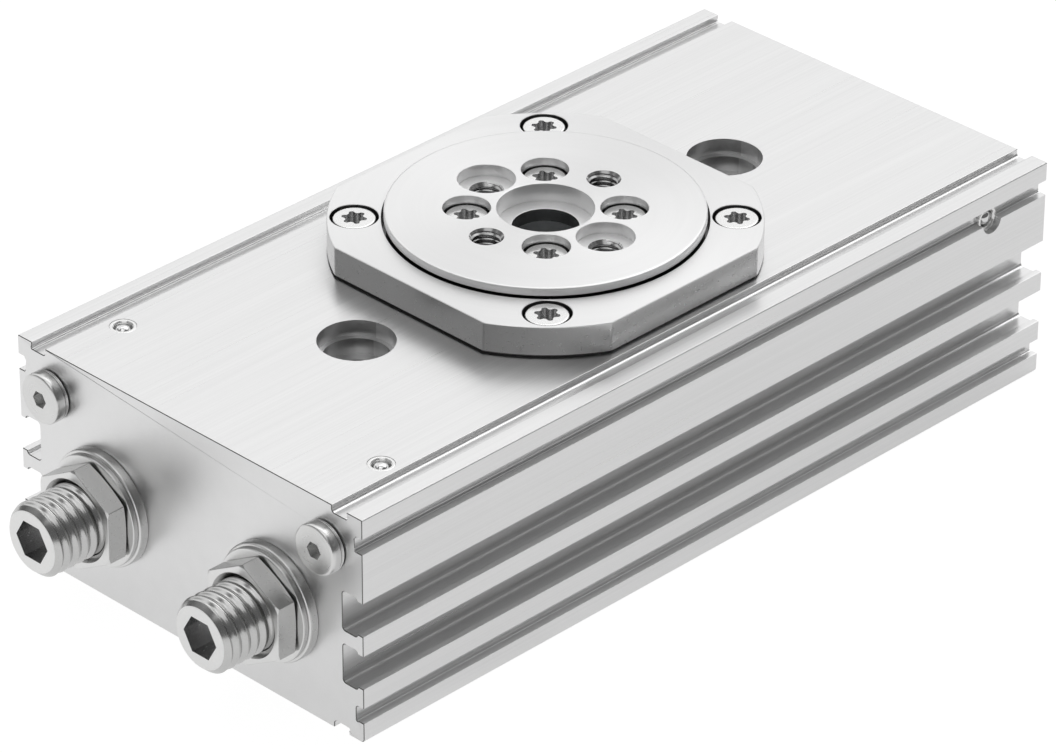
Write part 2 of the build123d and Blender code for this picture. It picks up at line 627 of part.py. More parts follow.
def stop_screw():
    """Far stop screw; its thread is drawn as a plain cylinder at the crests."""
    y = CYLINDER_Y
    tip = -HALF_LENGTH - STOP_OUTSIDE
    inner = stop_face() - BUFFER_HEAD - STATIC_GAP
    crest_r = STOP_THREAD_R - RUNNING_GAP
    piece = bar_x(crest_r, tip + STOP_END_CHAMFER, inner, y, CYLINDER_Z)
    cone = Cone(crest_r, STOP_END_R, STOP_END_CHAMFER)
    piece += Pos(tip + STOP_END_CHAMFER / 2, y, CYLINDER_Z) * Rot(0, -90, 0) * cone
    piece -= hexagon_x(STOP_SOCKET_AF, tip - OVERCUT, tip + STOP_SOCKET_DEPTH, y, CYLINDER_Z, 0)
    stem = BUFFER_STEM + 2 * STATIC_GAP
    return piece - bar_x(BUFFER_STEM_R + RUNNING_GAP, inner - stem, inner + OVERCUT, y, CYLINDER_Z)


def stop_buffer():
    """Far elastic buffer that the rack piston meets."""
    face = stop_face()
    head = bar_x(BUFFER_HEAD_R, face - BUFFER_HEAD, face, CYLINDER_Y, CYLINDER_Z)
    return head + bar_x(BUFFER_STEM_R, face - BUFFER_HEAD - BUFFER_STEM, face, CYLINDER_Y, CYLINDER_Z)


def rear_cap():
    """Far rear cap with a key socket and a nose that limits the chamber."""
    y = CYLINDER_Y
    high = HALF_LENGTH - CAP_SINK
    low = high - CAP_BODY
    cap = bar_x(END_BORE_R - STATIC_GAP, low, high, y, CYLINDER_Z)
    cap += bar_x(BUSHING_NOSE_R, PISTON_HALF + TRAVEL + CAP_NOSE_GAP, low, y, CYLINDER_Z)
    seal_low = low + (CAP_BODY - CAP_SEAL_WIDTH) / 2
    cap -= ring_x(END_BORE_R - END_SEAL_BED, END_BORE_R + OVERCUT, seal_low, seal_low + CAP_SEAL_WIDTH, y)
    return cap - hexagon_x(CAP_SOCKET_AF, high - CAP_SOCKET_DEPTH, high + OVERCUT, y, CYLINDER_Z, 0)


def port_plug():
    """Far port plug in the front end face."""
    head_high = -HALF_LENGTH - PLUG_SEAL
    head_low = head_high - PLUG_HEAD
    plug = bar_x(PLUG_HEAD_R, head_low, head_high, PORT_Y, PORT_Z)
    plug = fillet(edges_at_x(plug, head_low), PLUG_EDGE)
    plug += bar_x(PORT_R - RUNNING_GAP, head_high, -HALF_LENGTH + PLUG_SHANK, PORT_Y, PORT_Z)
    socket_end = head_low + PLUG_SOCKET_DEPTH
    return plug - hexagon_x(PLUG_SOCKET_AF, head_low - OVERCUT, socket_end, PORT_Y, PORT_Z, 0)


def port_seal():
    """Far seal under the head of the port plug."""
    low = -HALF_LENGTH - PLUG_SEAL
    ring = bar_x(PLUG_SEAL_R, low, -HALF_LENGTH, PORT_Y, PORT_Z)
    return ring - bar_x(PORT_R, low - OVERCUT, -HALF_LENGTH + OVERCUT, PORT_Y, PORT_Z)


def ball_plug():
    """Sleeve and ball of an expander plug, its outer face at height zero, looking along +Z."""
    sleeve = bar_z(BALL_PLUG_R - STATIC_GAP, -BALL_PLUG_LENGTH, 0)
    sleeve -= bar_z(BALL_SEAT_R, -BALL_PLUG_LENGTH + STATIC_GAP * 20, OVERCUT)
    ball = Pos(0, 0, -BALL_DEPTH) * Sphere(BALL_SEAT_R - STATIC_GAP)
    return sleeve, ball


def side_pair(name, far_piece):
    """The same piece for the near and the far side."""
    return {f"near_{name}": mirror(far_piece, Plane.XZ), f"far_{name}": far_piece}


def all_nodes():
    """Every node of the assembly by name."""
    nodes = {"housing": housing(), "bearing_cover": bearing_cover(), "cover_screws": cover_screws()}
    nodes["shaft_seal"] = shaft_seal()
    nodes["table"] = table()
    nodes["table_screws"] = table_screws()
    nodes["dowel_pin"] = dowel_pin()
    nodes["pinion_shaft"] = pinion_shaft()
    nodes["retaining_ring"] = retaining_ring()
    upper = (UPPER_JOURNAL_R, UPPER_BEARING_R, RING_WALL, UPPER_BALL_R, UPPER_BALLS)
    lower = (LOWER_JOURNAL_R, LOWER_BEARING_R, LOWER_RING_WALL, LOWER_BALL_R, LOWER_BALLS)
    bearings = (
        ("upper", bearing(*upper, UPPER_BEARING_Z, UPPER_BEARING_WIDTH)),
        ("lower", bearing(*lower, LOWER_BEARING_Z, LOWER_BEARING_WIDTH)),
    )
    for name, (outer, inner, ball_set) in bearings:
        nodes[f"{name}_outer_ring"] = outer
        nodes[f"{name}_inner_ring"] = inner
        nodes[f"{name}_balls"] = ball_set
    seal_low = -HALF_LENGTH + BUSHING_BODY - 1.5 * CAP_SEAL_WIDTH
    cap_seal_low = HALF_LENGTH - CAP_SINK - (CAP_BODY + CAP_SEAL_WIDTH) / 2
    pieces = {
        "rack_piston": rack_piston(),
        "piston_guides": piston_rings(GUIDE_START, GUIDE_WIDTH, STATIC_GAP),
        "piston_magnets": piston_rings(MAGNET_START, MAGNET_WIDTH, 2 * RUNNING_GAP),
        "piston_seals": piston_rings(SEAL_START, SEAL_WIDTH, STATIC_GAP),
        "stop_bushing": bushing(),
        "bushing_seal": end_seal(seal_low),
        "stop_washer": stop_washer(),
        "lock_nut": lock_nut(),
        "stop_screw": stop_screw(),
        "stop_buffer": stop_buffer(),
        "rear_cap": rear_cap(),
        "cap_seal": end_seal(cap_seal_low),
        "port_plug": port_plug(),
        "port_seal": port_seal(),
    }
    for name, piece in pieces.items():
        nodes.update(side_pair(name, piece))
    for name, side in SIDES:
        top_place = Pos(-TOP_PLUG_X, side * TOP_PLUG_Y, BODY_HEIGHT)
        cross_x = NEAR_CROSS_X if side < 0 else FAR_CROSS_X
        side_place = Pos(cross_x, side * (HALF_WIDTH - BALL_PLUG_SINK), CROSS_Z) * Rot(-90 * side, 0, 0)
        for where, place in (("top", top_place), ("side", side_place)):
            sleeve, ball = ball_plug()
            nodes[f"{name}_{where}_plug_sleeve"] = place * sleeve
            nodes[f"{name}_{where}_plug_ball"] = place * ball
    return nodes


os.makedirs("parts", exist_ok=True)
for node_name, node_shape in all_nodes().items():
    export_step(node_shape, f"parts/{node_name}.step")
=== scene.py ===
"""Looks of the semi-rotary actuator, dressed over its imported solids.

Sizes are millimetres until a piece is completed. The origin is on the output axis in the
base plane, X runs along the body and Z is up. The stop screws stand out of the -X end,
"near" is the -Y side and "far" is the +Y side.
"""

from __future__ import annotations

import logging
import math
from collections.abc import Callable, Iterable, Sequence
from dataclasses import dataclass
from enum import Enum

import bmesh
import bpy
from mathutils import Matrix, Vector


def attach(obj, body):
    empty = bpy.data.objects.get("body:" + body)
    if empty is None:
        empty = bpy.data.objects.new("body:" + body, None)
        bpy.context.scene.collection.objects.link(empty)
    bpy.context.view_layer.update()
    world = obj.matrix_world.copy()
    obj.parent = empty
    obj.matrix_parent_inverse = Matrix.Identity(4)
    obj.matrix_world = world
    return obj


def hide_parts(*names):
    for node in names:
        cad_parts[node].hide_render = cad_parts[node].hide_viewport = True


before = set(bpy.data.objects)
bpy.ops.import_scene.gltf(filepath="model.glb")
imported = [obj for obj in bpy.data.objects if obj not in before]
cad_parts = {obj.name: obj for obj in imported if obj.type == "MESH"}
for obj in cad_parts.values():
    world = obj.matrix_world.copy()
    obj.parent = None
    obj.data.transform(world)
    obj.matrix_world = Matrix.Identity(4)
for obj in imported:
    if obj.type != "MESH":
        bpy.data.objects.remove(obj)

LOG = logging.getLogger("actuator")

MM = 0.001
WELD = 1e-4
OVERCUT = 1.0
TURN_STEPS = 160
THREAD_STEPS = 56
THREAD_POINTS = 12
EASE_STEPS = 4
EASE_SHARE = 0.45
SHARP_ANGLE = math.radians(24.0)
FLAT_ANGLE = math.radians(0.4)
HALF_TURNED = 0.5
NEARLY = 0.95
WHOLLY = 0.999
NOISE_SPAN = (0.25, 0.75)
QUARTER = 0.25
UPWARDS = (0.0, 0.0, 1.0)
LENGTHWISE = (1.0, 0.0, 0.0)

Point = tuple[float, ...]
Span = tuple[float, float]
Triple = tuple[float, float, float]
Edge = bmesh.types.BMEdge
Face = bmesh.types.BMFace
Socket = bpy.types.NodeSocket
Inputs = dict[str | int, object]


class Way(Enum):
    """How one shape works on another."""

    CUT = "DIFFERENCE"
    KEEP_COMMON = "INTERSECT"
    JOIN = "UNION"


class Grain(Enum):
    """How the fine lines of a metal surface run."""

    ALONG_BODY = "along the body"
    ROUND_UPRIGHT = "round an upright axis"
    ROUND_LENGTHWISE = "round a lengthwise axis"
    NONE = "no direction"


@dataclass(frozen=True)
class Body:
    """Main sizes of the body that several sub-assemblies share."""

    half_length: float = 74.5
    half_width: float = 36.8
    height: float = 38.0
    cylinder_y: float = 18.2
    cylinder_z: float = 16.35
    end_bore_r: float = 9.0
    fit: float = 0.02
    seal_bed: float = 1.0
    seal_width: float = 1.8
    plug_x: float = 61.7
    plug_y: float = 27.6
    far_cross_x: float = 67.0
    cross_z: float = 32.5
    cross_sink: float = 1.0


class Side(Enum):
    """The two long sides, by the sign of Y."""

    NEAR = -1
    FAR = 1

    @property
    def word(self) -> str:
        """Name of the side as the nodes use it."""
        return self.name.lower()


class NodeBoard:
    """Adds and joins the shader nodes of one material or world."""

    def __init__(self, owner: bpy.types.Material | bpy.types.World) -> None:
        """Empties the owner's node tree.

        Args:
            owner: The material or world that gets the nodes.
        """
        owner.use_nodes = True
        self.tree = owner.node_tree
        self.tree.nodes.clear()

    def add(self, kind: str, inputs: Inputs | None = None, **settings: object) -> bpy.types.Node:
        """Adds one node.

        Args:
            kind: Blender's name of the node type.
            inputs: Sockets to link or plain values, by the input's name or number.
            **settings: Properties of the node itself.

        Returns:
            The new node.
        """
        node = self.tree.nodes.new(kind)
        for name, value in settings.items():
            setattr(node, name, value)
        for key, value in (inputs or {}).items():
            if isinstance(value, Socket):
                self.tree.links.new(value, node.inputs[key])
            else:
                node.inputs[key].default_value = value
        return node

    def number(self, operation: str, first: object, second: object = 0.0) -> Socket:
        """Works on two numbers.

        Args:
            operation: Name of the sum.
            first: Socket or number.
            second: Socket or number.

        Returns:
            The resulting socket.
        """
        return self.add("ShaderNodeMath", {0: first, 1: second}, operation=operation).outputs[0]

    def vector(self, operation: str, first: object, second: object = (0.0,) * 3) -> Socket:
        """Works on two vectors.

        Args:
            operation: Name of the sum.
            first: Socket or vector.
            second: Socket or vector.

        Returns:
            The resulting socket, a number for a length or a dot product.
        """
        node = self.add("ShaderNodeVectorMath", {0: first, 1: second}, operation=operation)
        return node.outputs["Value" if operation in ("LENGTH", "DOT_PRODUCT") else "Vector"]

    def noise(self, place: Socket, size: Triple, detail: float) -> Socket:
        """Adds smooth noise.

        Args:
            place: Where the noise is read.
            size: How many lumps there are in one unit, each way.
            detail: Octaves.

        Returns:
            The noise, from 0 to 1.
        """
        spot = self.vector("MULTIPLY", place, size)
        node = self.add("ShaderNodeTexNoise", {"Vector": spot, "Scale": 1.0, "Detail": detail})
        return node.outputs["Fac"]

    def remapped(self, value: Socket, given: Span, wanted: Span, shape: str = "LINEAR") -> Socket:
        """Carries a number from one range over to another.

        Args:
            value: The number.
            given: Ends of the range that it comes in.
            wanted: Ends of the range that it goes to.
            shape: Blender's name of the way between them.

        Returns:
            The new number.
        """
        ends = {"From Min": given[0], "From Max": given[1], "To Min": wanted[0], "To Max": wanted[1]}
        node = self.add("ShaderNodeMapRange", {"Value": value, **ends}, interpolation_type=shape)
        return node.outputs["Result"]

    def step(self, value: Socket, start: Span, result: Span) -> Socket:
        """Steps softly from one number to another, over a range of values."""
        return self.remapped(value, start, result, "SMOOTHSTEP")

    def spread(self, value: Socket, middle: float, reach: float) -> Socket:
        """Turns noise into a number that varies about a middle, by a reach either way."""
        return self.remapped(value, NOISE_SPAN, (middle - reach, middle + reach))


@dataclass(frozen=True)
class Finish:
    """What the looks of all surfaces have in common."""

    name: str
    colour: Triple
    roughness: float

    def material(self) -> bpy.types.Material:
        """Makes the node-based material, once.

        Returns:
            The material of this finish.
        """
        made = bpy.data.materials.get(self.name)
        if made is None:
            made = bpy.data.materials.new(self.name)
            board = NodeBoard(made)
            board.add("ShaderNodeOutputMaterial", {"Surface": self._surface(board)})
        return made

    def _surface(self, board: NodeBoard) -> Socket:
        """Wires the surface on the board of its material."""
        raise NotImplementedError

    def _marked(
        self, board: NodeBoard, shade: Socket, marks: Socket, reach: float, depth: float, more: Inputs
    ) -> Socket:
        """Wires a surface with fine marks.

        Args:
            board: Board of the material.
            shade: What the colour is multiplied with.
            marks: Height of the marks, from 0 to 1.
            reach: How far the marks change the roughness.
            depth: Depth of the marks.
            more: Other inputs of the surface.

        Returns:
            The finished surface.
        """
        colour = board.add("ShaderNodeVectorMath", {0: self.colour, "Scale": shade}, operation="SCALE")
        bump = board.add("ShaderNodeBump", {"Height": marks, "Distance": depth * MM})
        inputs = {
            "Base Color": colour.outputs["Vector"],
            "Roughness": board.spread(marks, self.roughness, reach),
            "Normal": bump.outputs["Normal"],
            **more,
        }
        return board.add("ShaderNodeBsdfPrincipled", inputs).outputs["BSDF"]


@dataclass(frozen=True)
class MetalFinish(Finish):
    """Bare or plated metal with the marks of its making.

    Lines are noise that is long one way and short the other. Rings are read about the
    axis at centre, and a centre off an axis serves the same piece on both sides of it.
    """

    anisotropy: float = 0.0
    grain: Grain = Grain.NONE
    line_width: float = 0.5
    line_contrast: float = 0.01
    line_depth: float = 0.0
    line_detail: float = 3.0
    roughness_reach: float = 0.01
    band_width: float = 3.0
    band_contrast: float = 0.01
    band_detail: float = 1.0
    stretch: float = 160.0
    ring_scale: float = 0.9
    centre: Triple = (0.0, 0.0, 0.0)
    metallic: float = 1.0

    def _surface(self, board: NodeBoard) -> Socket:
        """Wires the metal.

        Args:
            board: Board of the material.

        Returns:
            The finished surface.
        """
        place, along = self._place_and_lines(board)
        fine = board.noise(place, self._scale(self.line_width), self.line_detail)
        broad = board.noise(place, self._scale(self.band_width), self.band_detail)
        lines = board.spread(fine, 1.0, self.line_contrast)
        shade = board.number("MULTIPLY", lines, board.spread(broad, 1.0, self.band_contrast))
        more = {"Metallic": self.metallic}
        if self.anisotropy:
            more |= {"Anisotropic": self.anisotropy, "Anisotropic Rotation": QUARTER, "Tangent": along}
        return self._marked(board, shade, fine, self.roughness_reach, self.line_depth, more)

    def _scale(self, width: float) -> Triple:
        """Scale that makes noise as wide as a line, and long where lines run."""
        short = 1.0 / width
        if self.grain is Grain.ALONG_BODY:
            return (short / self.stretch, short, short)
        if self.grain is Grain.NONE:
            return (short, short, short)
        return (short, self.ring_scale, self.ring_scale)

    def _place_and_lines(self, board: NodeBoard) -> tuple[Socket, Socket]:
        """Works out where the pattern is read and which way its lines run.

        Args:
            board: Board of the material.

        Returns:
            Place in the pattern, and the direction of the lines in the world.
        """
        coordinates = board.add("ShaderNodeTexCoord")
        spot = board.vector("MULTIPLY", coordinates.outputs["Object"], (1.0 / MM,) * 3)
        offset = board.vector("MULTIPLY", board.vector("SIGN", spot), self.centre)
        place = board.vector("SUBTRACT", spot, offset)
        lines: object = LENGTHWISE
        if self.grain in (Grain.ROUND_UPRIGHT, Grain.ROUND_LENGTHWISE):
            upright_axis = self.grain is Grain.ROUND_UPRIGHT
            axis, flat, across = (
                (UPWARDS, (1.0, 1.0, 0.0), "XY") if upright_axis else (LENGTHWISE, (0.0, 1.0, 1.0), "YZ")
            )
            arm = board.vector("MULTIPLY", place, flat)
            ring = board.number("ADD", board.vector("LENGTH", arm), board.vector("DOT_PRODUCT", place, axis))
            parts = board.add("ShaderNodeSeparateXYZ", {0: board.vector("NORMALIZE", arm)})
            rest = {"Y": parts.outputs[across[0]], "Z": parts.outputs[across[1]]}
            place = board.add("ShaderNodeCombineXYZ", {"X": ring, **rest}).outputs["Vector"]
            lines = board.vector("CROSS_PRODUCT", arm, axis)
        turned = board.add(
            "ShaderNodeVectorTransform",
            {"Vector": lines},
            vector_type="VECTOR",
            convert_from="OBJECT",
            convert_to="WORLD",
        )
        return place, turned.outputs["Vector"]


@dataclass(frozen=True)
class MouldedFinish(Finish):
    """Rubber or plastic with a fine grain."""

    grain_size: float
    grain_depth: float
    grain_detail: float = 4.0
    grain_contrast: float = 0.12
    roughness_reach: float = 0.06

    def _surface(self, board: NodeBoard) -> Socket:
        """Wires the rubber or plastic.

        Args:
            board: Board of the material.

        Returns:
            The finished surface.
        """
        spot = board.add("ShaderNodeTexCoord").outputs["Object"]
        grain = board.noise(spot, (1.0 / (MM * self.grain_size),) * 3, self.grain_detail)
        shade = board.spread(grain, 1.0, self.grain_contrast)
        return self._marked(board, shade, grain, self.roughness_reach, self.grain_depth, {})


def grey(level: float, warmth: float = 0.0) -> Triple:
    """Returns a grey, or a slightly warm one."""
    return (level, level, level - warmth)


COARSE = {"roughness_reach": 0.03}
STEEL = (0.55, 0.56, 0.57)
PLATE_WARMTH = 0.005
PLUG_AXIS = (0.0, 29.45, 30.85)

DRAWN_BODY = MetalFinish("drawn_body", grey(0.8), 0.3, 0.6, Grain.ALONG_BODY, 0.3, 0.035, 0.0006, **COARSE)
MILLED_END = MetalFinish("milled_end", grey(0.8), 0.34, line_contrast=0.008, line_depth=0.0005)
# Painted shade: the body's bored walls are darker than its drawn and milled faces.
BORED_BODY_PAINTED_SHADE = MetalFinish("bored_body_painted_shade", grey(0.64), 0.33, line_depth=0.0001)
TURNED_TABLE = MetalFinish("turned_table", grey(0.85), 0.34, 0.8, Grain.ROUND_UPRIGHT, line_depth=0.0002)
# Painted shade: the cover's upright sides are a darker copy of its turned top's metal.
COVER_SIDE_PAINTED_SHADE = MetalFinish("cover_side", grey(0.64), 0.28)
# Painted light: the table's faced floors, rim and bored walls are lighter than its turned top.
FACED_TABLE_PAINTED_LIGHT = MetalFinish("faced_table_painted_light", grey(0.95), 0.42, metallic=0.6)
BORED_TABLE_PAINTED_LIGHT = MetalFinish("bored_table_painted_light", grey(0.95), 0.3, metallic=0.6)
# Painted shade: near-black metal put on gap walls, under the cover's foot, under the table's rim and on the
# break round the body's ends.
PAINTED_SHADE = MetalFinish("painted_shade", grey(0.12), 0.35, line_contrast=0.05, line_depth=0.001, **COARSE)
# Painted shade: darker metal in the table's threads, below its screw heads and in its shaft bore.
HOLE_SHADE = MetalFinish("hole_shade_painted", grey(0.42), 0.2, line_contrast=0.03, line_depth=0.0005, **COARSE)
KEYED = MetalFinish("keyed", grey(0.66), 0.25, line_depth=0.0002, **COARSE)
SATIN_SCREW = MetalFinish("satin_screw", grey(0.9, PLATE_WARMTH), 0.22, metallic=0.75)
NICKEL_THREAD = MetalFinish("nickel_thread", grey(0.58, PLATE_WARMTH), 0.22, line_contrast=0.02)
NICKEL_NUT = MetalFinish("nickel_nut", grey(0.57, PLATE_WARMTH), 0.28, line_contrast=0.02)
# Painted light: a lighter copy of the plating for the front faces of the stop sets.
NICKEL_FACE_PAINTED_LIGHT = MetalFinish("nickel_face_painted_light", grey(0.78, PLATE_WARMTH), 0.3, line_contrast=0.02)
NICKEL_PLUG = MetalFinish(
    "nickel_plug",
    grey(0.72, PLATE_WARMTH),
    0.28,
    0.5,
    Grain.ROUND_LENGTHWISE,
    0.3,
    0.025,
    0.0001,
    centre=PLUG_AXIS,
)
BALL_STEEL = MetalFinish("ball_steel", grey(0.75), 0.12, line_depth=0.0005, **COARSE)
GROUND_STEEL = MetalFinish("ground_steel", STEEL, 0.3, 0.3, Grain.ROUND_UPRIGHT, 0.2, 0.03, 0.002, **COARSE)
RACK_STEEL = MetalFinish("rack_steel", STEEL, 0.3, 0.3, Grain.ALONG_BODY, 0.25, 0.03, 0.002, **COARSE)
DARK_STEEL = MetalFinish(
    "dark_steel", grey(0.08, -0.005), 0.4, line_width=0.3, line_contrast=0.08, line_depth=0.004, **COARSE
)
MAGNET_ALLOY = MetalFinish(
    "magnet_alloy", grey(0.16, -0.01), 0.5, line_width=0.2, line_contrast=0.08, line_depth=0.004, **COARSE
)
GUIDE_PLASTIC = MouldedFinish("guide_plastic", (0.55, 0.48, 0.36), 0.5, 0.4, 0.004)
BLACK_RUBBER = MouldedFinish("black_rubber", grey(0.02), 0.6, 0.3, 0.006)
BUFFER_RUBBER = MouldedFinish("buffer_rubber", grey(0.05, -0.005), 0.65, 0.4, 0.01)


def eased(outline: Sequence[Point], ease: float, closed: bool) -> list[Point]:
    """Rounds the corners of an outline.

    Args:
        outline: Points of radius and height; a third number is that corner's own ease.
        ease: How far the rounding reaches from each corner.
        closed: Whether the outline runs back to its start.

    Returns:
        The points of the rounded outline.
    """
    rounded: list[Point] = []
    count = len(outline)
    for index, corner in enumerate(outline):
        here = Vector(corner[:2])
        reach = corner[2] if len(corner) > 2 else ease
        if reach <= 0.0 or (not closed and index in (0, count - 1)):
            rounded.append(tuple(here))
            continue
        before = Vector(outline[index - 1][:2]) - here
        after = Vector(outline[(index + 1) % count][:2]) - here
        first = here + before.normalized() * min(reach, before.length * EASE_SHARE)
        last = here + after.normalized() * min(reach, after.length * EASE_SHARE)
        for step in range(EASE_STEPS + 1):
            share = step / EASE_STEPS
            start = first.lerp(here, share)
            end = here.lerp(last, share)
            rounded.append(tuple(start.lerp(end, share)))
    return rounded


class Blank:
    """A piece in the making, in millimetres."""

    def __init__(self, form: bmesh.types.BMesh) -> None:
        """Takes over a mesh.

        Args:
            form: The mesh that this blank owns.
        """
        self.form = form

    @classmethod
    def turned(cls, outline: Sequence[Point], ease: float = 0.0, closed: bool = False) -> Blank:
        """Turns an outline round the upright axis.

        Args:
            outline: Points of radius and height. An open outline starts and ends on the axis.
            ease: Rounding of its corners.
            closed: Whether the outline is a ring's section.

        Returns:
            The turned blank.
        """
        form = bmesh.new()
        points = [form.verts.new((radius, 0.0, height)) for radius, height in eased(outline, ease, closed)]
        following = points[1:] + points[:1] if closed else points[1:]
        edges = [form.edges.new(pair) for pair in zip(points, following)]
        bmesh.ops.spin(
            form,
            geom=points + edges,
            cent=(0, 0, 0),
            axis=(0, 0, 1),
            angle=math.tau,
            steps=TURN_STEPS,
            use_merge=True,
        )
        return cls(form)._tidied()

    @classmethod
    def prism(cls, sides: int, across_flats: float, low: float, high: float, turn: float = 0.0) -> Blank:
        """Makes a regular bar that stands upright.

        Args:
            sides: Number of flats.
            across_flats: Distance between opposite flats.
            low: Lower end.
            high: Upper end.
            turn: Degrees that its corners are turned from the Y axis.

        Returns:
            The bar.
        """
        form = bmesh.new()
        radius = across_flats / 2 / math.cos(math.pi / sides)
        place = upright(0, 0, low) @ Matrix.Rotation(math.radians(turn), 4, "Z")
        bmesh.ops.create_circle(form, cap_ends=True, radius=radius, segments=sides, matrix=place)
        return cls(form).raised(high - low)

    @classmethod
    def threaded(cls, crest: float, root: float, pitch: float, ends: Span, sharpness: float = 1.0) -> Blank:
        """Makes an upright bar with a right-hand thread.

        Args:
            crest: Radius at the crests.
            root: Radius at the roots.
            pitch: Distance between crests.
            ends: Heights of its two ends.
            sharpness: How much narrower the crests are than the grooves.

        Returns:
            The threaded bar.
        """
        form = bmesh.new()
        points = []
        low, high = ends
        turns = math.ceil((high - low) / pitch) + 2
        for step in range(turns * THREAD_POINTS):
            share = step / THREAD_POINTS
            swell = (0.5 + 0.5 * math.cos(math.tau * share)) ** sharpness
            points.append(form.verts.new((root + (crest - root) * swell, 0.0, low + (share - 1.0) * pitch)))
        edges = [form.edges.new(pair) for pair in zip(points, points[1:])]
        bmesh.ops.spin(
            form,
            geom=points + edges,
            cent=(0, 0, 0),
            axis=(0, 0, 1),
            dvec=(0, 0, pitch / THREAD_STEPS),
            angle=math.tau,
            steps=THREAD_STEPS,
        )
        bmesh.ops.remove_doubles(form, verts=form.verts[:], dist=WELD)
        for height, keep_above in ((low, True), (high, False)):
            cut = bmesh.ops.bisect_plane(
                form,
                geom=form.verts[:] + form.edges[:] + form.faces[:],
                plane_co=(0, 0, height),
                plane_no=(0, 0, 1),
                clear_inner=keep_above,
                clear_outer=not keep_above,
            )
            rim = [item for item in cut["geom_cut"] if isinstance(item, Edge)]
            bmesh.ops.contextual_create(form, geom=rim)
        return cls(form)._tidied()

    @classmethod
    def of_node(cls, node: str) -> Blank:
        """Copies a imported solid, with its loose triangles merged.

        Args:
            node: Name of the CAD node.

        Returns:
            The blank in millimetres.
        """
        form = bmesh.new()
        form.from_mesh(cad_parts[node].data)
        bmesh.ops.scale(form, vec=(1 / MM,) * 3, verts=form.verts[:])
        bmesh.ops.remove_doubles(form, verts=form.verts[:], dist=WELD)
        bmesh.ops.dissolve_limit(form, angle_limit=FLAT_ANGLE, verts=form.verts[:], edges=form.edges[:])
        return cls(form)

    def _tidied(self) -> Blank:
        """Merges doubles and turns the faces outwards."""
        bmesh.ops.remove_doubles(self.form, verts=self.form.verts[:], dist=WELD)
        bmesh.ops.recalc_face_normals(self.form, faces=self.form.faces[:])
        return self

    def raised(self, height: float) -> Blank:
        """Raises the blank's flat faces into a bar of that height."""
        risen = bmesh.ops.extrude_face_region(self.form, geom=self.form.faces[:])
        top = [item for item in risen["geom"] if isinstance(item, bmesh.types.BMVert)]
        bmesh.ops.translate(self.form, vec=(0, 0, height), verts=top)
        return self._tidied()

    def placed(self, matrix: Matrix) -> Blank:
        """Moves and turns the blank."""
        bmesh.ops.transform(self.form, matrix=matrix, verts=self.form.verts[:])
        return self

    def copied(self, matrix: Matrix) -> Blank:
        """Returns a moved copy of the blank."""
        return Blank(self.form.copy()).placed(matrix)

    def softened(
        self, width: float, wanted: Callable[[Edge], bool], segments: int = 2, clamped: bool = True
    ) -> Blank:
        """Rounds the edges that are wanted.

        Args:
            width: Width of the rounding.
            wanted: Says whether an edge is rounded.
            segments: Steps of the rounding.
            clamped: Whether the width shrinks where edges are short.

        Returns:
            This blank.
        """
        edges = [edge for edge in self.form.edges if len(edge.link_faces) == 2 and wanted(edge)]
        bmesh.ops.bevel(
            self.form,
            geom=edges,
            offset=width,
            offset_type="OFFSET",
            affect="EDGES",
            segments=segments,
            profile=0.5,
            clamp_overlap=clamped,
            material=-1,
        )
        return self

    def worked(self, tool: Blank, way: Way) -> Blank:
        """Cuts, joins or trims the blank with another one, which is used up.

        Args:
            tool: The other blank.
            way: How it works on this one.

        Returns:
            This blank.
        """
        objects = [blank.as_object("blank") for blank in (self, tool)]
        host, other = objects
        modifier = host.modifiers.new("work", "BOOLEAN")
        modifier.operation = way.value
        modifier.solver = "EXACT"
        modifier.object = other
        ready = host.evaluated_get(bpy.context.evaluated_depsgraph_get())
        result = bmesh.new()
        result.from_mesh(ready.to_mesh())
        ready.to_mesh_clear()
        for leftover in objects:
            mesh = leftover.data
            bpy.data.objects.remove(leftover)
            bpy.data.meshes.remove(mesh)
        self.form.free()
        tool.form.free()
        self.form = result
        return self

    def as_object(self, name: str) -> bpy.types.Object:
        """Links an object that shows the blank as it is.

        Args:
            name: Name of the object and its mesh.

        Returns:
            The object.
        """
        mesh = bpy.data.meshes.new(name)
        self.form.to_mesh(mesh)
        made = bpy.data.objects.new(name, mesh)
        bpy.context.scene.collection.objects.link(made)
        return made

    def open_edges(self) -> int:
        """Counts the edges that don't join exactly two faces."""
        return sum(1 for edge in self.form.edges if len(edge.link_faces) != 2)

    def completed(self, piece: Piece, choose: Callable[[Face], int] | None = None) -> bpy.types.Object:
        """Makes the finished piece in metres and hangs it on its body.

        Args:
            piece: Its name, nodes, slot, finishes and body.
            choose: Says which of the finishes a face gets.

        Returns:
            The finished object.
        """
        for face in self.form.faces:
            face.smooth = True
            face.material_index = choose(face) if choose else 0
        for edge in self.form.edges:
            edge.smooth = edge.calc_face_angle(0.0) < SHARP_ANGLE
        bmesh.ops.scale(self.form, vec=(MM,) * 3, verts=self.form.verts[:])
        made = self.as_object(piece.name)
        weighted = made.modifiers.new("weighted_normals", "WEIGHTED_NORMAL")
        weighted.keep_sharp = True
        for finish in piece.finishes:
            made.data.materials.append(finish.material())
        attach(made, piece.body)
        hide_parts(*piece.nodes)
        LOG.info("%s: %d faces, %d open edges", piece.name, len(self.form.faces), self.open_edges())
        self.form.free()
        return made


@dataclass(frozen=True)
class Piece:
    """What a finished piece is called, what it stands for and what carries it."""

    name: str
    nodes: tuple[str, ...]
    slot: str
    finishes: tuple[Finish, ...]
    body: str = "housing_body"


def diagonal_points(radius: float) -> list[Vector]:
    """Returns the four points on the diagonals at one radius."""
    reach = radius / math.sqrt(2)
    return [Vector((i * reach, j * reach)) for i in (-1, 1) for j in (-1, 1)]


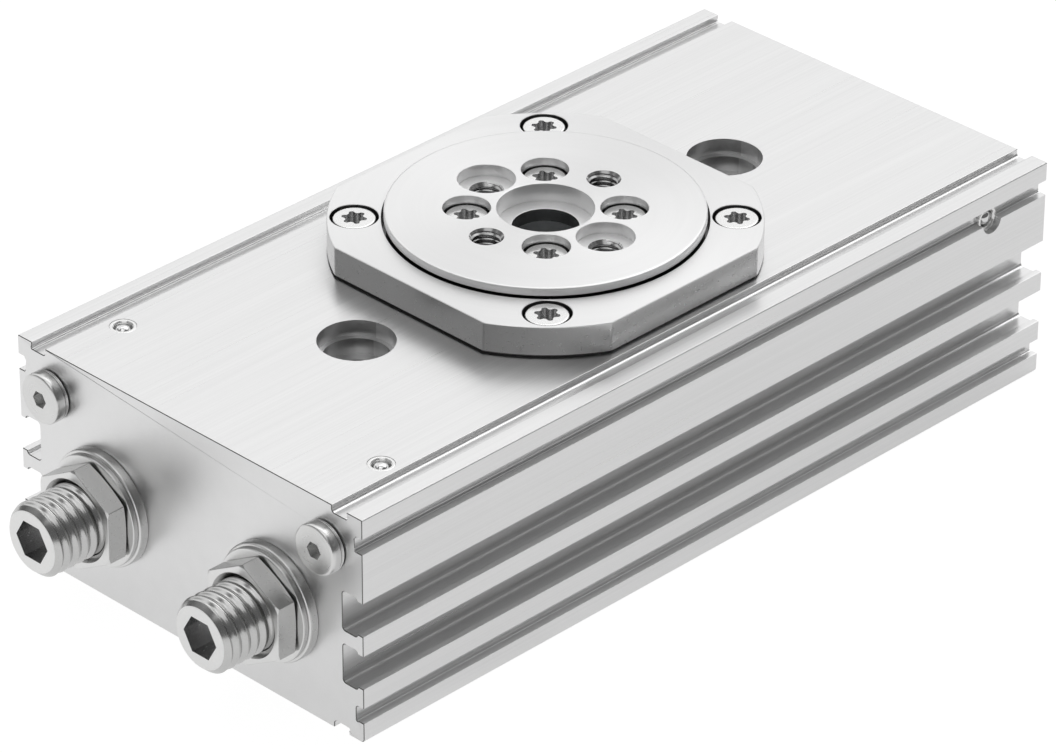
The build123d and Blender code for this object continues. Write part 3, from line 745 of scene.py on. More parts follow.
def upright(x: float, y: float, z: float = 0.0) -> Matrix:
    """Returns the place of an upright piece."""
    return Matrix.Translation((x, y, z))


def laid(x: float, y: float, z: float, quarters: int, axis: str) -> Matrix:
    """Returns the place of a piece whose upright axis is turned by quarters about another one."""
    return upright(x, y, z) @ Matrix.Rotation(quarters * math.pi / 2, 4, axis)


def grooved(outer: float, inner: float, low: float, high: float) -> list[Point]:
    """Returns the part of an outline that runs round a groove."""
    return [(outer, low), (inner, low), (inner, high), (outer, high)]


@dataclass(frozen=True)
class SlottedHousing:
    """The extruded and machined body."""

    body: Body
    long_edge: float = 20.0
    edge_ease: float = 0.12
    edge_break: float = 0.1
    corner: float = 0.7
    crisp_share: float = 0.35
    skin_depth: float = 4.5
    skin_area: float = 3.0
    skin_slope: float = 0.02

    def build(self) -> None:
        """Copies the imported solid, works its edges and dresses its faces."""
        blank = Blank.of_node("housing")
        self._make_corners_crisp(blank)
        blank.softened(self.edge_ease, self._is_long_edge, clamped=False)
        bmesh.ops.remove_doubles(blank.form, verts=blank.form.verts[:], dist=WELD)
        blank.softened(self.edge_break, self._is_end_edge, 1, clamped=False)
        # The bored metal is darkened as painted shade, and the last finish is flat painted shade.
        finishes = (DRAWN_BODY, MILLED_END, BORED_BODY_PAINTED_SHADE, PAINTED_SHADE)
        blank.completed(Piece("housing_skin", ("housing",), "drawn_aluminium", finishes), self._finish_of)

    def _make_corners_crisp(self, blank: Blank) -> None:
        """Draws the rounding of the two upper corners in towards their tips.

        Args:
            blank: The copied body.
        """
        for vert in blank.form.verts:
            side = math.copysign(1.0, vert.co.y)
            tip = Vector((vert.co.x, side * self.body.half_width, self.body.height))
            away = vert.co - tip
            if max(abs(away.y), abs(away.z)) < self.corner + WELD:
                vert.co = tip + away * self.crisp_share

    def _is_long_edge(self, edge: Edge) -> bool:
        """Says whether an edge is a sharp one along the body."""
        run = edge.verts[1].co - edge.verts[0].co
        along_body = run.length > self.long_edge and abs(run.x) > WHOLLY * run.length
        return along_body and edge.calc_face_angle(0.0) > SHARP_ANGLE

    def _is_end_edge(self, edge: Edge) -> bool:
        """Says whether an edge is where a long face or the top meets an end.

        Args:
            edge: An edge of the body.

        Returns:
            True if its break is drawn.
        """
        at_end = min(abs(vert.co.x) for vert in edge.verts) > self.body.half_length - WELD
        if not at_end or edge.calc_length() < WELD:
            return False
        around = [face for face in edge.link_faces if abs(face.normal.x) < HALF_TURNED]
        high = edge.verts[0].co.z > self.body.height - WELD
        on_top = high and any(face.normal.z > WHOLLY for face in around)
        return on_top or any(face.calc_area() / edge.calc_length() > self.body.half_length for face in around)

    def _finish_of(self, face: Face) -> int:
        """Chooses drawn and milled metal, bored metal darkened as painted shade, and flat painted shade by
        where a face lies.

        Args:
            face: A face of the body.

        Returns:
            Number of its finish.
        """
        middle = face.calc_center_median()
        if abs(face.normal.x) > NEARLY:
            return 1
        # Painted shade: the break round each end is dark, a shadow line along the end's edges.
        if abs(middle.x) > self.body.half_length - self.edge_break:
            return 3
        depth = min(self.body.height - middle.z, middle.z, self.body.half_width - abs(middle.y))
        along_body = abs(face.normal.x) < self.skin_slope and face.calc_area() > self.skin_area
        if depth < self.skin_depth and along_body:
            return 0
        # Floors get milled metal; walls and undersides deeper in get bored metal darkened as painted shade.
        return 1 if face.normal.z > NEARLY else 2


@dataclass(frozen=True)
class ScrewedPart:
    """Turned part that four sunk M4 screws hold down."""

    body: Body
    top: float
    screw_pitch_r: float
    screw_sink: float
    counterbore_r: float
    mouth: float
    clear_r: float = 2.2
    head_height: float = 2.6

    @property
    def head_top(self) -> float:
        """Height of the tops of the screws."""
        return self.top - self.screw_sink

    def _flare(self, radius: float) -> list[Point]:
        """Returns the upper end of a cutting outline that flares where it leaves the top face."""
        wide = radius + 2 * self.mouth
        over = self.top + OVERCUT
        return [(radius, self.top - self.mouth), (wide, self.top + self.mouth), (wide, over), (0.0, over)]

    def _sink_screws(self, blank: Blank) -> None:
        """Cuts the spaces of the four screws.

        Args:
            blank: The part in the making.
        """
        low = self.body.height - OVERCUT
        seat = self.head_top - self.head_height
        outline = [(0.0, low), (self.clear_r, low), (self.clear_r, seat), (self.counterbore_r, seat)]
        outline += [(self.counterbore_r, self.head_top), *self._flare(self.counterbore_r)]
        for x, y in diagonal_points(self.screw_pitch_r):
            blank.worked(Blank.turned(outline).placed(upright(x, y)), Way.CUT)

    def _is_by_screw(self, spot: Vector, margin: float) -> bool:
        """Says whether a spot lies in the space of a screw."""
        reach = self.counterbore_r + margin
        return any((spot - screw).length < reach for screw in diagonal_points(self.screw_pitch_r))


@dataclass(frozen=True)
class BearingCover(ScrewedPart):
    """Square cover with arched corners round the output table."""

    top: float = 43.2
    screw_pitch_r: float = 29.1
    screw_sink: float = 0.2
    counterbore_r: float = 3.76
    mouth: float = 0.07
    half: float = 29.3
    reach: float = 33.3
    edge: float = 0.25
    edge_steps: int = 3
    foot: float = 0.4
    lip: float = 1.6
    lip_r: float = 21.0
    bore_r: float = 25.0
    arc_steps: int = 400
    corner_angle: float = math.radians(10.0)

    def build(self) -> None:
        """Builds the cover with its bore, counterbores and foot."""
        low = self.body.height
        blank = self._block(0.0, low + self.foot, self.top)
        blank.softened(self.edge, self._is_upper_edge, self.edge_steps)
        blank.worked(self._block(self.foot, low, low + 2 * self.foot), Way.JOIN)
        bore = [(0.0, low - OVERCUT), (self.lip_r, low - OVERCUT), (self.lip_r, low + self.lip)]
        bore += [(self.bore_r, low + self.lip), *self._flare(self.bore_r)]
        blank.worked(Blank.turned(bore), Way.CUT)
        self._sink_screws(blank)
        # The second finish is flat painted shade, and the third is the side metal darkened as painted shade.
        finishes = (TURNED_TABLE, PAINTED_SHADE, COVER_SIDE_PAINTED_SHADE)
        piece = Piece("cover_skin", ("bearing_cover",), "turned_aluminium", finishes)
        blank.completed(piece, self._finish_of)

    def _finish_of(self, face: Face) -> int:
        """Chooses turned metal, flat painted shade and the side metal darkened as painted shade by where a
        face lies.

        Args:
            face: A face of the cover.

        Returns:
            Number of its finish.
        """
        middle = face.calc_center_median()
        # Painted shade under the cover's foot.
        if middle.z < self.body.height + self.foot + WELD:
            return 1
        if abs(face.normal.z) > HALF_TURNED:
            return 0
        # Painted shade in the bore and the counterbores; the upright sides get the darker side metal.
        in_bore = middle.xy.length < self.bore_r + self.mouth
        return 1 if in_bore or self._is_by_screw(middle.xy, self.mouth) else 2

    def _block(self, inset: float, low: float, high: float) -> Blank:
        """Makes the solid outline of the cover between two heights.

        Args:
            inset: How far the outline is drawn in.
            low: Lower end.
            high: Upper end.

        Returns:
            The solid block.
        """
        form = bmesh.new()
        radius = self.reach - inset
        place = upright(0, 0, low)
        bmesh.ops.create_circle(form, cap_ends=True, radius=radius, segments=self.arc_steps, matrix=place)
        for direction in ((1, 0, 0), (-1, 0, 0), (0, 1, 0), (0, -1, 0)):
            bmesh.ops.bisect_plane(
                form,
                geom=form.verts[:] + form.edges[:] + form.faces[:],
                plane_co=Vector(direction) * (self.half - inset),
                plane_no=direction,
                clear_outer=True,
            )
        return Blank(form).raised(high - low)

    def _is_upper_edge(self, edge: Edge) -> bool:
        """Says whether an edge is round the top face or at an upright corner."""
        heights = [vert.co.z for vert in edge.verts]
        corner = abs(heights[0] - heights[1]) > self.edge and edge.calc_face_angle(0.0) > self.corner_angle
        return min(heights) > self.top - WELD or corner


@dataclass(frozen=True)
class OutputTable(ScrewedPart):
    """Rimmed disc that turns, with its bores, threads and recesses."""

    top: float = 44.8
    screw_pitch_r: float = 12.0
    screw_sink: float = 1.35
    counterbore_r: float = 3.7
    mouth: float = 0.06
    radius: float = 24.65
    rim: float = 1.3
    relief: float = 0.35
    rim_ease: float = 0.5
    neck_r: float = 20.0
    underside: float = 39.9
    pilot_r: float = 9.02
    pilot_height: float = 1.52
    shaft_bore_r: float = 5.15
    centre_bore_r: float = 7.5
    centre_bore_depth: float = 3.1
    relief_r: float = 0.12
    hole_pitch_r: float = 12.7
    sleeve_r: float = 4.5
    sleeve_depth: float = 2.0
    thread_crest_r: float = 2.5
    thread_core_r: float = 2.1
    thread_pitch: float = 0.8
    thread_mouth_r: float = 2.68
    thread_start: float = math.radians(17.0)

    def build(self) -> None:
        """Builds the disc and cuts its holes."""
        blank = self._disc()
        self._sink_screws(blank)
        for hole, floor in self._threads():
            place = upright(hole.x, hole.y)
            if floor < self.top:
                blank.worked(self._recess(floor).placed(place), Way.CUT)
            blank.worked(self._thread_mouth(floor).placed(place), Way.CUT)
            ends = (self.body.height - OVERCUT, floor - self.mouth)
            tap = Blank.threaded(self.thread_crest_r, self.thread_core_r, self.thread_pitch, ends)
            blank.worked(tap.placed(place @ Matrix.Rotation(self.thread_start, 4, "Z")), Way.CUT)
        # The bored and faced metal is lightened as painted light; flat shade and the hole metal are painted
        # shade.
        finishes = (TURNED_TABLE, BORED_TABLE_PAINTED_LIGHT, PAINTED_SHADE, HOLE_SHADE, FACED_TABLE_PAINTED_LIGHT)
        piece = Piece("table_skin", ("table",), "turned_aluminium", finishes, "output_table")
        blank.completed(piece, self._finish_of)

    def _threads(self) -> list[tuple[Vector, float]]:
        """Returns the middles of the threads and the heights where they begin."""
        turns = [step * math.pi / 2 for step in range(4)]
        pitch_r = self.hole_pitch_r
        holes = [Vector((pitch_r * math.cos(turn), pitch_r * math.sin(turn))) for turn in turns]
        return [(hole, self.top - self.sleeve_depth * (step % 2)) for step, hole in enumerate(holes)]

    def _finish_of(self, face: Face) -> int:
        """Chooses by where a face lies among turned metal, bored and faced metal lightened as painted light,
        flat painted shade and hole metal darkened as painted shade.

        Args:
            face: A face of the table.

        Returns:
            Number of its finish.
        """
        middle = face.calc_center_median()
        spot = middle.xy
        # Painted light: the rim's side and rounded edge get the lightened faced metal.
        if spot.length > self.radius - self.rim_ease / 2:
            return 4
        # Painted shade under the rim.
        if spot.length > self.radius - 2 * self.relief and middle.z < self.top - self.rim - WELD:
            return 2
        # Painted shade in the threads below their mouths.
        for hole, floor in self._threads():
            if (spot - hole).length < self.thread_crest_r + self.mouth and middle.z < floor - 2 * self.mouth:
                return 3
        # Painted shade on the counterbore walls below the screw heads.
        if self._is_by_screw(spot, WELD) and middle.z < self.head_top - WELD:
            return 3
        if middle.z > self.top - self.mouth:
            return 0
        # Painted shade in the shaft bore.
        if spot.length < self.shaft_bore_r + self.mouth and abs(face.normal.z) < HALF_TURNED:
            return 3
        # Painted light: the other floors and walls get the lightened faced and bored metal.
        return 4 if face.normal.z > HALF_TURNED else 1

    def _disc(self) -> Blank:
        """Turns the disc with its stepped bore.

        Returns:
            The disc without its holes.
        """
        rim_low = self.top - self.rim
        floor = self.top - self.centre_bore_depth
        pilot_top = self.body.height + self.pilot_height
        edge_r = self.radius - self.relief
        foot_r = self.centre_bore_r + self.relief_r
        outline = [
            (self.pilot_r, self.body.height),
            (self.neck_r, self.body.height),
            (self.neck_r, self.underside),
            (edge_r, self.underside),
            (edge_r, rim_low),
            (self.radius, rim_low),
            (self.radius, self.top, self.rim_ease),
            (self.centre_bore_r, self.top, 2 * self.mouth),
            (self.centre_bore_r, floor + 3 * self.relief_r),
            (foot_r, floor + 2 * self.relief_r, 0.0),
            (foot_r, floor, 0.0),
            (self.shaft_bore_r, floor, 2 * self.mouth),
            (self.shaft_bore_r, pilot_top),
            (self.pilot_r, pilot_top),
        ]
        return Blank.turned(outline, ease=self.mouth / 2, closed=True)

    def _recess(self, floor: float) -> Blank:
        """Shapes the recess of a sleeve, with an eased mouth and a relief at its foot."""
        foot_r = self.sleeve_r + self.relief_r
        outline = [(0.0, floor), (foot_r, floor), (foot_r, floor + 1.5 * self.relief_r)]
        outline += [(self.sleeve_r, floor + 2.5 * self.relief_r), *self._flare(self.sleeve_r)]
        return Blank.turned(outline)

    def _thread_mouth(self, floor: float) -> Blank:
        """Shapes the conical mouth of a thread."""
        low = floor - (self.thread_mouth_r - self.thread_core_r)
        over = floor + 2 * self.mouth
        wide = self.thread_mouth_r + self.mouth
        slant = [(self.thread_core_r, low), (wide, floor + self.mouth)]
        return Blank.turned([(0.0, low), *slant, (wide, over), (0.0, over)])


@dataclass(frozen=True)
class LobedScrews:
    """Four M4 screws with six-lobed sockets, on one circle."""

    piece: Piece
    pitch_r: float
    head_top: float
    head_r: float = 3.33
    head_height: float = 2.6
    head_ease: float = 0.35
    edge_ease: float = 0.08
    shank_r: float = 1.65
    grip: float = 7.0
    lobe_r: float = 2.0
    waist_r: float = 1.42
    lobe_width: float = 0.8
    lobes: int = 6
    lobe_steps: int = 120
    socket_depth: float = 1.7

    def build(self) -> None:
        """Builds one screw and repeats it."""
        screw = self._screw()
        first, *others = [screw.copied(upright(x, y)) for x, y in diagonal_points(self.pitch_r)]
        for other in others:
            mesh = bpy.data.meshes.new("other")
            other.form.to_mesh(mesh)
            first.form.from_mesh(mesh)
            bpy.data.meshes.remove(mesh)
            other.form.free()
        screw.form.free()
        first.completed(self.piece, self._finish_of)

    def _finish_of(self, face: Face) -> int:
        """Chooses the key finish inside the sockets."""
        middle = face.calc_center_median()
        inside = any((middle.xy - screw).length < self.lobe_r for screw in diagonal_points(self.pitch_r))
        return int(inside and self.head_top - self.socket_depth - WELD < middle.z < self.head_top - WELD)

    def _screw(self) -> Blank:
        """Turns the head and the shank and sinks the socket.

        Returns:
            One screw on the origin's axis.
        """
        seat = self.head_top - self.head_height
        outline = [
            (0.0, seat - self.grip),
            (self.shank_r, seat - self.grip),
            (self.shank_r, seat),
            (self.head_r, seat),
            (self.head_r, self.head_top, self.head_ease),
            (0.0, self.head_top),
        ]
        return Blank.turned(outline, ease=self.edge_ease).worked(self._socket(), Way.CUT)

    def _socket(self) -> Blank:
        """Shapes the six-lobed space.

        Returns:
            The space as a solid.
        """
        form = bmesh.new()
        place = upright(0, 0, self.head_top - self.socket_depth)
        bmesh.ops.create_circle(form, cap_ends=True, radius=1.0, segments=self.lobe_steps, matrix=place)
        for vert in form.verts:
            wave = math.cos(self.lobes * math.atan2(vert.co.y, vert.co.x))
            swell = wave * (1.0 + self.lobe_width) / (abs(wave) + self.lobe_width)
            vert.co.xy *= (self.lobe_r + self.waist_r + (self.lobe_r - self.waist_r) * swell) / 2
        return Blank(form).raised(self.socket_depth + OVERCUT)


@dataclass(frozen=True)
class StopSet:
    """Bushing, washer, lock nut and stop screw of one cylinder."""

    body: Body
    side: Side
    collar_r: float = 9.5
    collar: float = 1.65
    collar_ease: float = 0.5
    collar_foot_ease: float = 0.35
    bushing_body: float = 8.0
    bushing_length: float = 15.0
    bushing_ease: float = 0.1
    nose_r: float = 7.6
    washer_r: float = 9.05
    washer: float = 0.9
    washer_ease: float = 0.28
    washer_back_ease: float = 0.15
    washer_bore_ease: float = 0.05
    nut_flats: float = 15.0
    nut: float = 3.65
    nut_face_r: float = 8.2
    nut_back_r: float = 6.9
    front_bevel: float = math.radians(30.0)
    back_bevel: float = math.radians(15.0)
    nut_turn: float = 30.0
    nut_mouth: float = 0.8
    corner_ease: float = 0.12
    corner_steps: int = 3
    bore_r: float = 6.0
    thread_r: float = 5.95
    root_r: float = 5.52
    pitch: float = 1.75
    sharpness: float = 0.9
    outside: float = 14.6
    inside: float = 12.48
    tip_r: float = 5.0
    tip_chamfer: float = 1.0
    tip_ease: float = 0.12
    key_flats: float = 6.0
    key_depth: float = 6.0
    stem_r: float = 3.2
    stem_depth: float = 5.04
    facing_front: float = 0.8

    def build(self) -> None:
        """Builds the four pieces where the end face carries them."""
        word = self.side.word
        fixed = "housing_body"
        across = self.side.value * self.body.cylinder_y
        place = laid(-self.body.half_length, across, self.body.cylinder_z, -1, "Y")
        parts = (
            (self._bushing(), "collar", fixed, NICKEL_NUT, "stop_bushing"),
            (self._washer(), "ring", fixed, NICKEL_NUT, "stop_washer"),
            (self._nut(), "nut", fixed, NICKEL_NUT, "lock_nut"),
            (self._screw(), "threaded_stop", f"{word}_screw", NICKEL_THREAD, "stop_screw"),
        )
        for blank, name, carrier, around, node in parts:
            # The second finish is a lighter copy of the plating, painted light on the front faces.
            finishes = (around, NICKEL_FACE_PAINTED_LIGHT, KEYED)
            piece = Piece(f"{word}_{name}", (f"{word}_{node}",), "bright_steel", finishes, carrier)
            blank.placed(place).completed(piece, self._finish_of)

    def _finish_of(self, face: Face) -> int:
        """Chooses a lighter copy of the plating for the front faces, as painted light, and key metal for the
        socket of the stop screw.
        """
        middle = face.calc_center_median()
        axis = Vector((self.side.value * self.body.cylinder_y, self.body.cylinder_z))
        from_tip = middle.x + self.body.half_length + self.outside
        in_key = (middle.yz - axis).length < self.key_flats / math.sqrt(3)
        if in_key and WELD < from_tip < self.key_depth + WELD:
            return 2
        # Painted light on the faces that turn towards -X.
        return int(face.normal.x < -self.facing_front)

    def _bushing(self) -> Blank:
        """Turns the bushing with its collar and its seal bed.

        Returns:
            The bushing, upright.
        """
        inner = self.body.end_bore_r - self.body.fit
        bed_high = -self.bushing_body + 1.5 * self.body.seal_width
        bed_r = self.body.end_bore_r - self.body.seal_bed
        outline = [
            (self.bore_r, -self.bushing_length),
            (self.nose_r, -self.bushing_length),
            (self.nose_r, -self.bushing_body),
            (inner, -self.bushing_body),
            *grooved(inner, bed_r, bed_high - self.body.seal_width, bed_high),
            (inner, 0.0),
            (self.collar_r, 0.0, self.collar_foot_ease),
            (self.collar_r, self.collar, self.collar_ease),
            (self.bore_r, self.collar),
        ]
        return Blank.turned(outline, ease=self.bushing_ease, closed=True)

    def _washer(self) -> Blank:
        """Turns the washer.

        Returns:
            The washer, upright.
        """
        low, high = self.collar, self.collar + self.washer
        outline = [
            (self.bore_r, low),
            (self.washer_r, low, self.washer_back_ease),
            (self.washer_r, high, self.washer_ease),
            (self.bore_r, high),
        ]
        return Blank.turned(outline, ease=self.washer_bore_ease, closed=True)

    def _nut(self) -> Blank:
        """Bevels a hexagon and bores it.

        Returns:
            The nut, upright.
        """
        low = self.collar + self.washer
        high = low + self.nut
        blank = Blank.prism(6, self.nut_flats, low, high, self.nut_turn)
        blank.softened(self.corner_ease, self._is_front_or_upright, self.corner_steps)
        corner_r = self.nut_flats / math.sqrt(3) + OVERCUT
        drop = (corner_r - self.nut_face_r) * math.tan(self.front_bevel)
        rise = (corner_r - self.nut_back_r) * math.tan(self.back_bevel)
        bevel = [
            (0.0, low),
            (self.nut_back_r, low),
            (corner_r, low + rise),
            (corner_r, high - drop),
            (self.nut_face_r, high),
            (0.0, high),
        ]
        blank.worked(Blank.turned(bevel), Way.KEEP_COMMON)
        bore = [
            (0.0, low - OVERCUT),
            (self.bore_r, low - OVERCUT),
            (self.bore_r, high - self.nut_mouth),
            (self.bore_r + 2 * self.nut_mouth, high + self.nut_mouth),
            (0.0, high + self.nut_mouth),
        ]
        return blank.worked(Blank.turned(bore), Way.CUT)

    def _is_front_or_upright(self, edge: Edge) -> bool:
        """Says whether an edge stands between two flats or is round the front face."""
        return max(vert.co.z for vert in edge.verts) > self.collar + self.washer + self.nut / 2

    def _screw(self) -> Blank:
        """Cuts the thread, the chamfered tip, the key socket and the stem's hole.

        Returns:
            The stop screw, upright.
        """
        ends = (-self.inside - OVERCUT, self.outside + OVERCUT)
        blank = Blank.threaded(self.thread_r, self.root_r, self.pitch, ends, self.sharpness)
        slope = self.tip_chamfer / (self.thread_r - self.tip_r)
        wide = self.thread_r + OVERCUT
        turned_down = [
            (0.0, -self.inside),
            (wide, -self.inside),
            (wide, self.outside - self.tip_chamfer - OVERCUT * slope),
            (self.tip_r, self.outside, self.tip_ease),
            (0.0, self.outside),
        ]
        blank.worked(Blank.turned(turned_down), Way.KEEP_COMMON)
        key = Blank.prism(6, self.key_flats, self.outside - self.key_depth, self.outside + OVERCUT)
        blank.worked(key, Way.CUT)
        low, high = -self.inside - OVERCUT, -self.inside + self.stem_depth
        stem = [(0.0, low), (self.stem_r, low), (self.stem_r, high), (0.0, high)]
        return blank.worked(Blank.turned(stem), Way.CUT)


@dataclass(frozen=True)
class PortPlug:
    """Screw plug and seal of one front port."""

    body: Body
    side: Side
    port_y: float = 29.45
    port_z: float = 30.85
    head_r: float = 4.1
    head: float = 2.0
    head_ease: float = 0.55
    edge_ease: float = 0.05
    groove_depth: float = 0.25
    groove_low: float = 0.3
    groove_width: float = 0.1
    seal: float = 0.5
    seal_r: float = 3.98
    seal_ease: float = 0.06
    seal_gap: float = 0.22
    seal_gap_r: float = 3.7
    shank_r: float = 2.05
    shank: float = 5.0
    port_r: float = 2.1
    key_flats: float = 2.5
    key_depth: float = 1.6

    def build(self) -> None:
        """Builds the plug and its seal."""
        word = self.side.word
        place = laid(-self.body.half_length, self.side.value * self.port_y, self.port_z, -1, "Y")
        plug = Piece(f"{word}_plug", (f"{word}_port_plug",), "bright_steel", (NICKEL_PLUG,))
        self._plug().placed(place).completed(plug)
        seal = Piece(f"{word}_plug_seal", (f"{word}_port_seal",), "black_rubber", (BLACK_RUBBER, SATIN_SCREW))
        self._seal().placed(place).completed(seal, self._is_rim)

    def _is_rim(self, face: Face) -> int:
        """Chooses metal for the rim that is bonded to the seal."""
        axis = Vector((self.side.value * self.port_y, self.port_z))
        return int((face.calc_center_median().yz - axis).length > self.seal_gap_r + WELD)

    def _plug(self) -> Blank:
        """Turns the grooved head and sinks the key socket.

        Returns:
            The plug, upright.
        """
        low, high = self.seal, self.seal + self.head
        groove = low + self.groove_low
        outline = [
            (0.0, -self.shank),
            (self.shank_r, -self.shank),
            (self.shank_r, low),
            (self.head_r, low),
            *grooved(self.head_r, self.head_r - self.groove_depth, groove, groove + self.groove_width),
            (self.head_r, high, self.head_ease),
            (0.0, high),
        ]
        key = Blank.prism(6, self.key_flats, high - self.key_depth, high + OVERCUT)
        return Blank.turned(outline, ease=self.edge_ease).worked(key, Way.CUT)

    def _seal(self) -> Blank:
        """Turns the sealing ring.

        Returns:
            The seal, upright.
        """
        outline = [
            (self.port_r, 0.0, 0.0),
            (self.seal_gap_r, 0.0, 0.0),
            (self.seal_gap_r, self.seal_gap, 0.0),
            (self.seal_r, self.seal_gap),
            (self.seal_r, self.seal),
            (self.seal_gap_r, self.seal, 0.0),
            (self.port_r, self.seal, 0.0),
        ]
        return Blank.turned(outline, ease=self.seal_ease, closed=True)


@dataclass(frozen=True)
class BallPlug:
    """Pressed-in sleeve and ball that close one channel."""

    word: str
    place: Matrix
    sleeve_r: float = 2.08
    sleeve_ease: float = 0.15
    edge_ease: float = 0.06
    seat_r: float = 1.4
    length: float = 3.8
    floor: float = 0.4
    mouth: float = 0.25
    ball_r: float = 1.38
    ball_depth: float = 1.3
    meridians: int = 48
    circles: int = 24

    def build(self) -> None:
        """Builds the sleeve and the ball."""
        floor = -self.length + self.floor
        outline = [
            (0.0, -self.length),
            (self.sleeve_r, -self.length),
            (self.sleeve_r, 0.0, self.sleeve_ease),
            (self.seat_r + self.mouth, 0.0),
            (self.seat_r, -self.mouth),
            (self.seat_r, floor),
            (0.0, floor),
        ]
        word = self.word
        sleeve = Piece(f"{word}_sleeve_ring", (f"{word}_plug_sleeve",), "bright_steel", (SATIN_SCREW,))
        Blank.turned(outline, ease=self.edge_ease).placed(self.place).completed(sleeve)
        form = bmesh.new()
        sunk = upright(0, 0, -self.ball_depth)
        bmesh.ops.create_uvsphere(
            form, u_segments=self.meridians, v_segments=self.circles, radius=self.ball_r, matrix=sunk
        )
        ball = Piece(f"{word}_steel_ball", (f"{word}_plug_ball",), "ground_steel", (BALL_STEEL,))
        Blank(form).placed(self.place).completed(ball)


@dataclass(frozen=True)
class RearCap:
    """Cap that closes one cylinder at the rear end."""

    body: Body
    side: Side
    sink: float = 1.0
    thickness: float = 4.5
    nose_end: float = 58.0
    nose_r: float = 7.6
    rim_ease: float = 0.25
    edge_ease: float = 0.1
    key_flats: float = 8.0
    key_depth: float = 3.0

    def build(self) -> None:
        """Turns the cap and sinks its key socket."""
        word = self.side.word
        high = self.body.half_length - self.sink
        low = high - self.thickness
        outer = self.body.end_bore_r - self.body.fit
        bed_low = low + (self.thickness - self.body.seal_width) / 2
        bed_r = self.body.end_bore_r - self.body.seal_bed
        outline = [
            (0.0, self.nose_end),
            (self.nose_r, self.nose_end),
            (self.nose_r, low),
            (outer, low),
            *grooved(outer, bed_r, bed_low, bed_low + self.body.seal_width),
            (outer, high, self.rim_ease),
            (0.0, high),
        ]
        blank = Blank.turned(outline, ease=self.edge_ease)
        blank.worked(Blank.prism(6, self.key_flats, high - self.key_depth, high + OVERCUT), Way.CUT)
        place = laid(0.0, self.side.value * self.body.cylinder_y, self.body.cylinder_z, 1, "Y")
        piece = Piece(f"{word}_end_cap", (f"{word}_rear_cap",), "turned_aluminium", (NICKEL_NUT,))
        blank.placed(place).completed(piece)


@dataclass(frozen=True)
class Mechanism:
    """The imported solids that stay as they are, each with its finish."""

    finishes: tuple[tuple[Finish, tuple[str, ...]], ...] = (
        (GROUND_STEEL, ("dowel_pin", "pinion_shaft", "outer_ring", "inner_ring")),
        (DARK_STEEL, ("retaining_ring",)),
        (BLACK_RUBBER, ("shaft_seal", "piston_seals", "bushing_seal", "cap_seal")),
        (BALL_STEEL, ("balls",)),
        (RACK_STEEL, ("rack_piston",)),
        (GUIDE_PLASTIC, ("piston_guides",)),
        (MAGNET_ALLOY, ("piston_magnets",)),
        (BUFFER_RUBBER, ("stop_buffer",)),
    )

    def dress(self) -> None:
        """Gives each shown node the finish whose name it ends with."""
        for name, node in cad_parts.items():
            if node.hide_render:
                continue
            finish = next((made for made, endings in self.finishes if name.endswith(endings)), GROUND_STEEL)
            for index in range(max(1, len(node.data.materials))):
                if index < len(node.data.materials):
                    node.data.materials[index] = finish.material()
                else:
                    node.data.materials.append(finish.material())
            LOG.info("%s keeps its packed shape", name)


@dataclass(frozen=True)
class SkyPanel:
    """Soft-edged window of light in the surroundings, by sines of the angles from its middle."""

    towards: Triple
    half_width: float
    half_height: float
    softness: float
    strength: float

    def light(self, board: NodeBoard, look: Socket) -> Socket:
        """Works out how much light comes from a direction.

        Args:
            board: Board of the world.
            look: The direction.

        Returns:
            The panel's light in that direction.
        """
        middle = Vector(self.towards).normalized()
        sideways = Vector(UPWARDS).cross(middle).normalized()
        share: object = self.strength
        for across, half in ((sideways, self.half_width), (middle.cross(sideways), self.half_height)):
            offset = board.number("ABSOLUTE", board.vector("DOT_PRODUCT", look, tuple(across)))
            inside = board.step(offset, (half + self.softness, half), (0.0, 1.0))
            share = board.number("MULTIPLY", share, inside)
        ahead = board.vector("DOT_PRODUCT", look, tuple(middle))
        return board.number("MULTIPLY", share, board.step(ahead, (0.0, self.softness), (0.0, 1.0)))


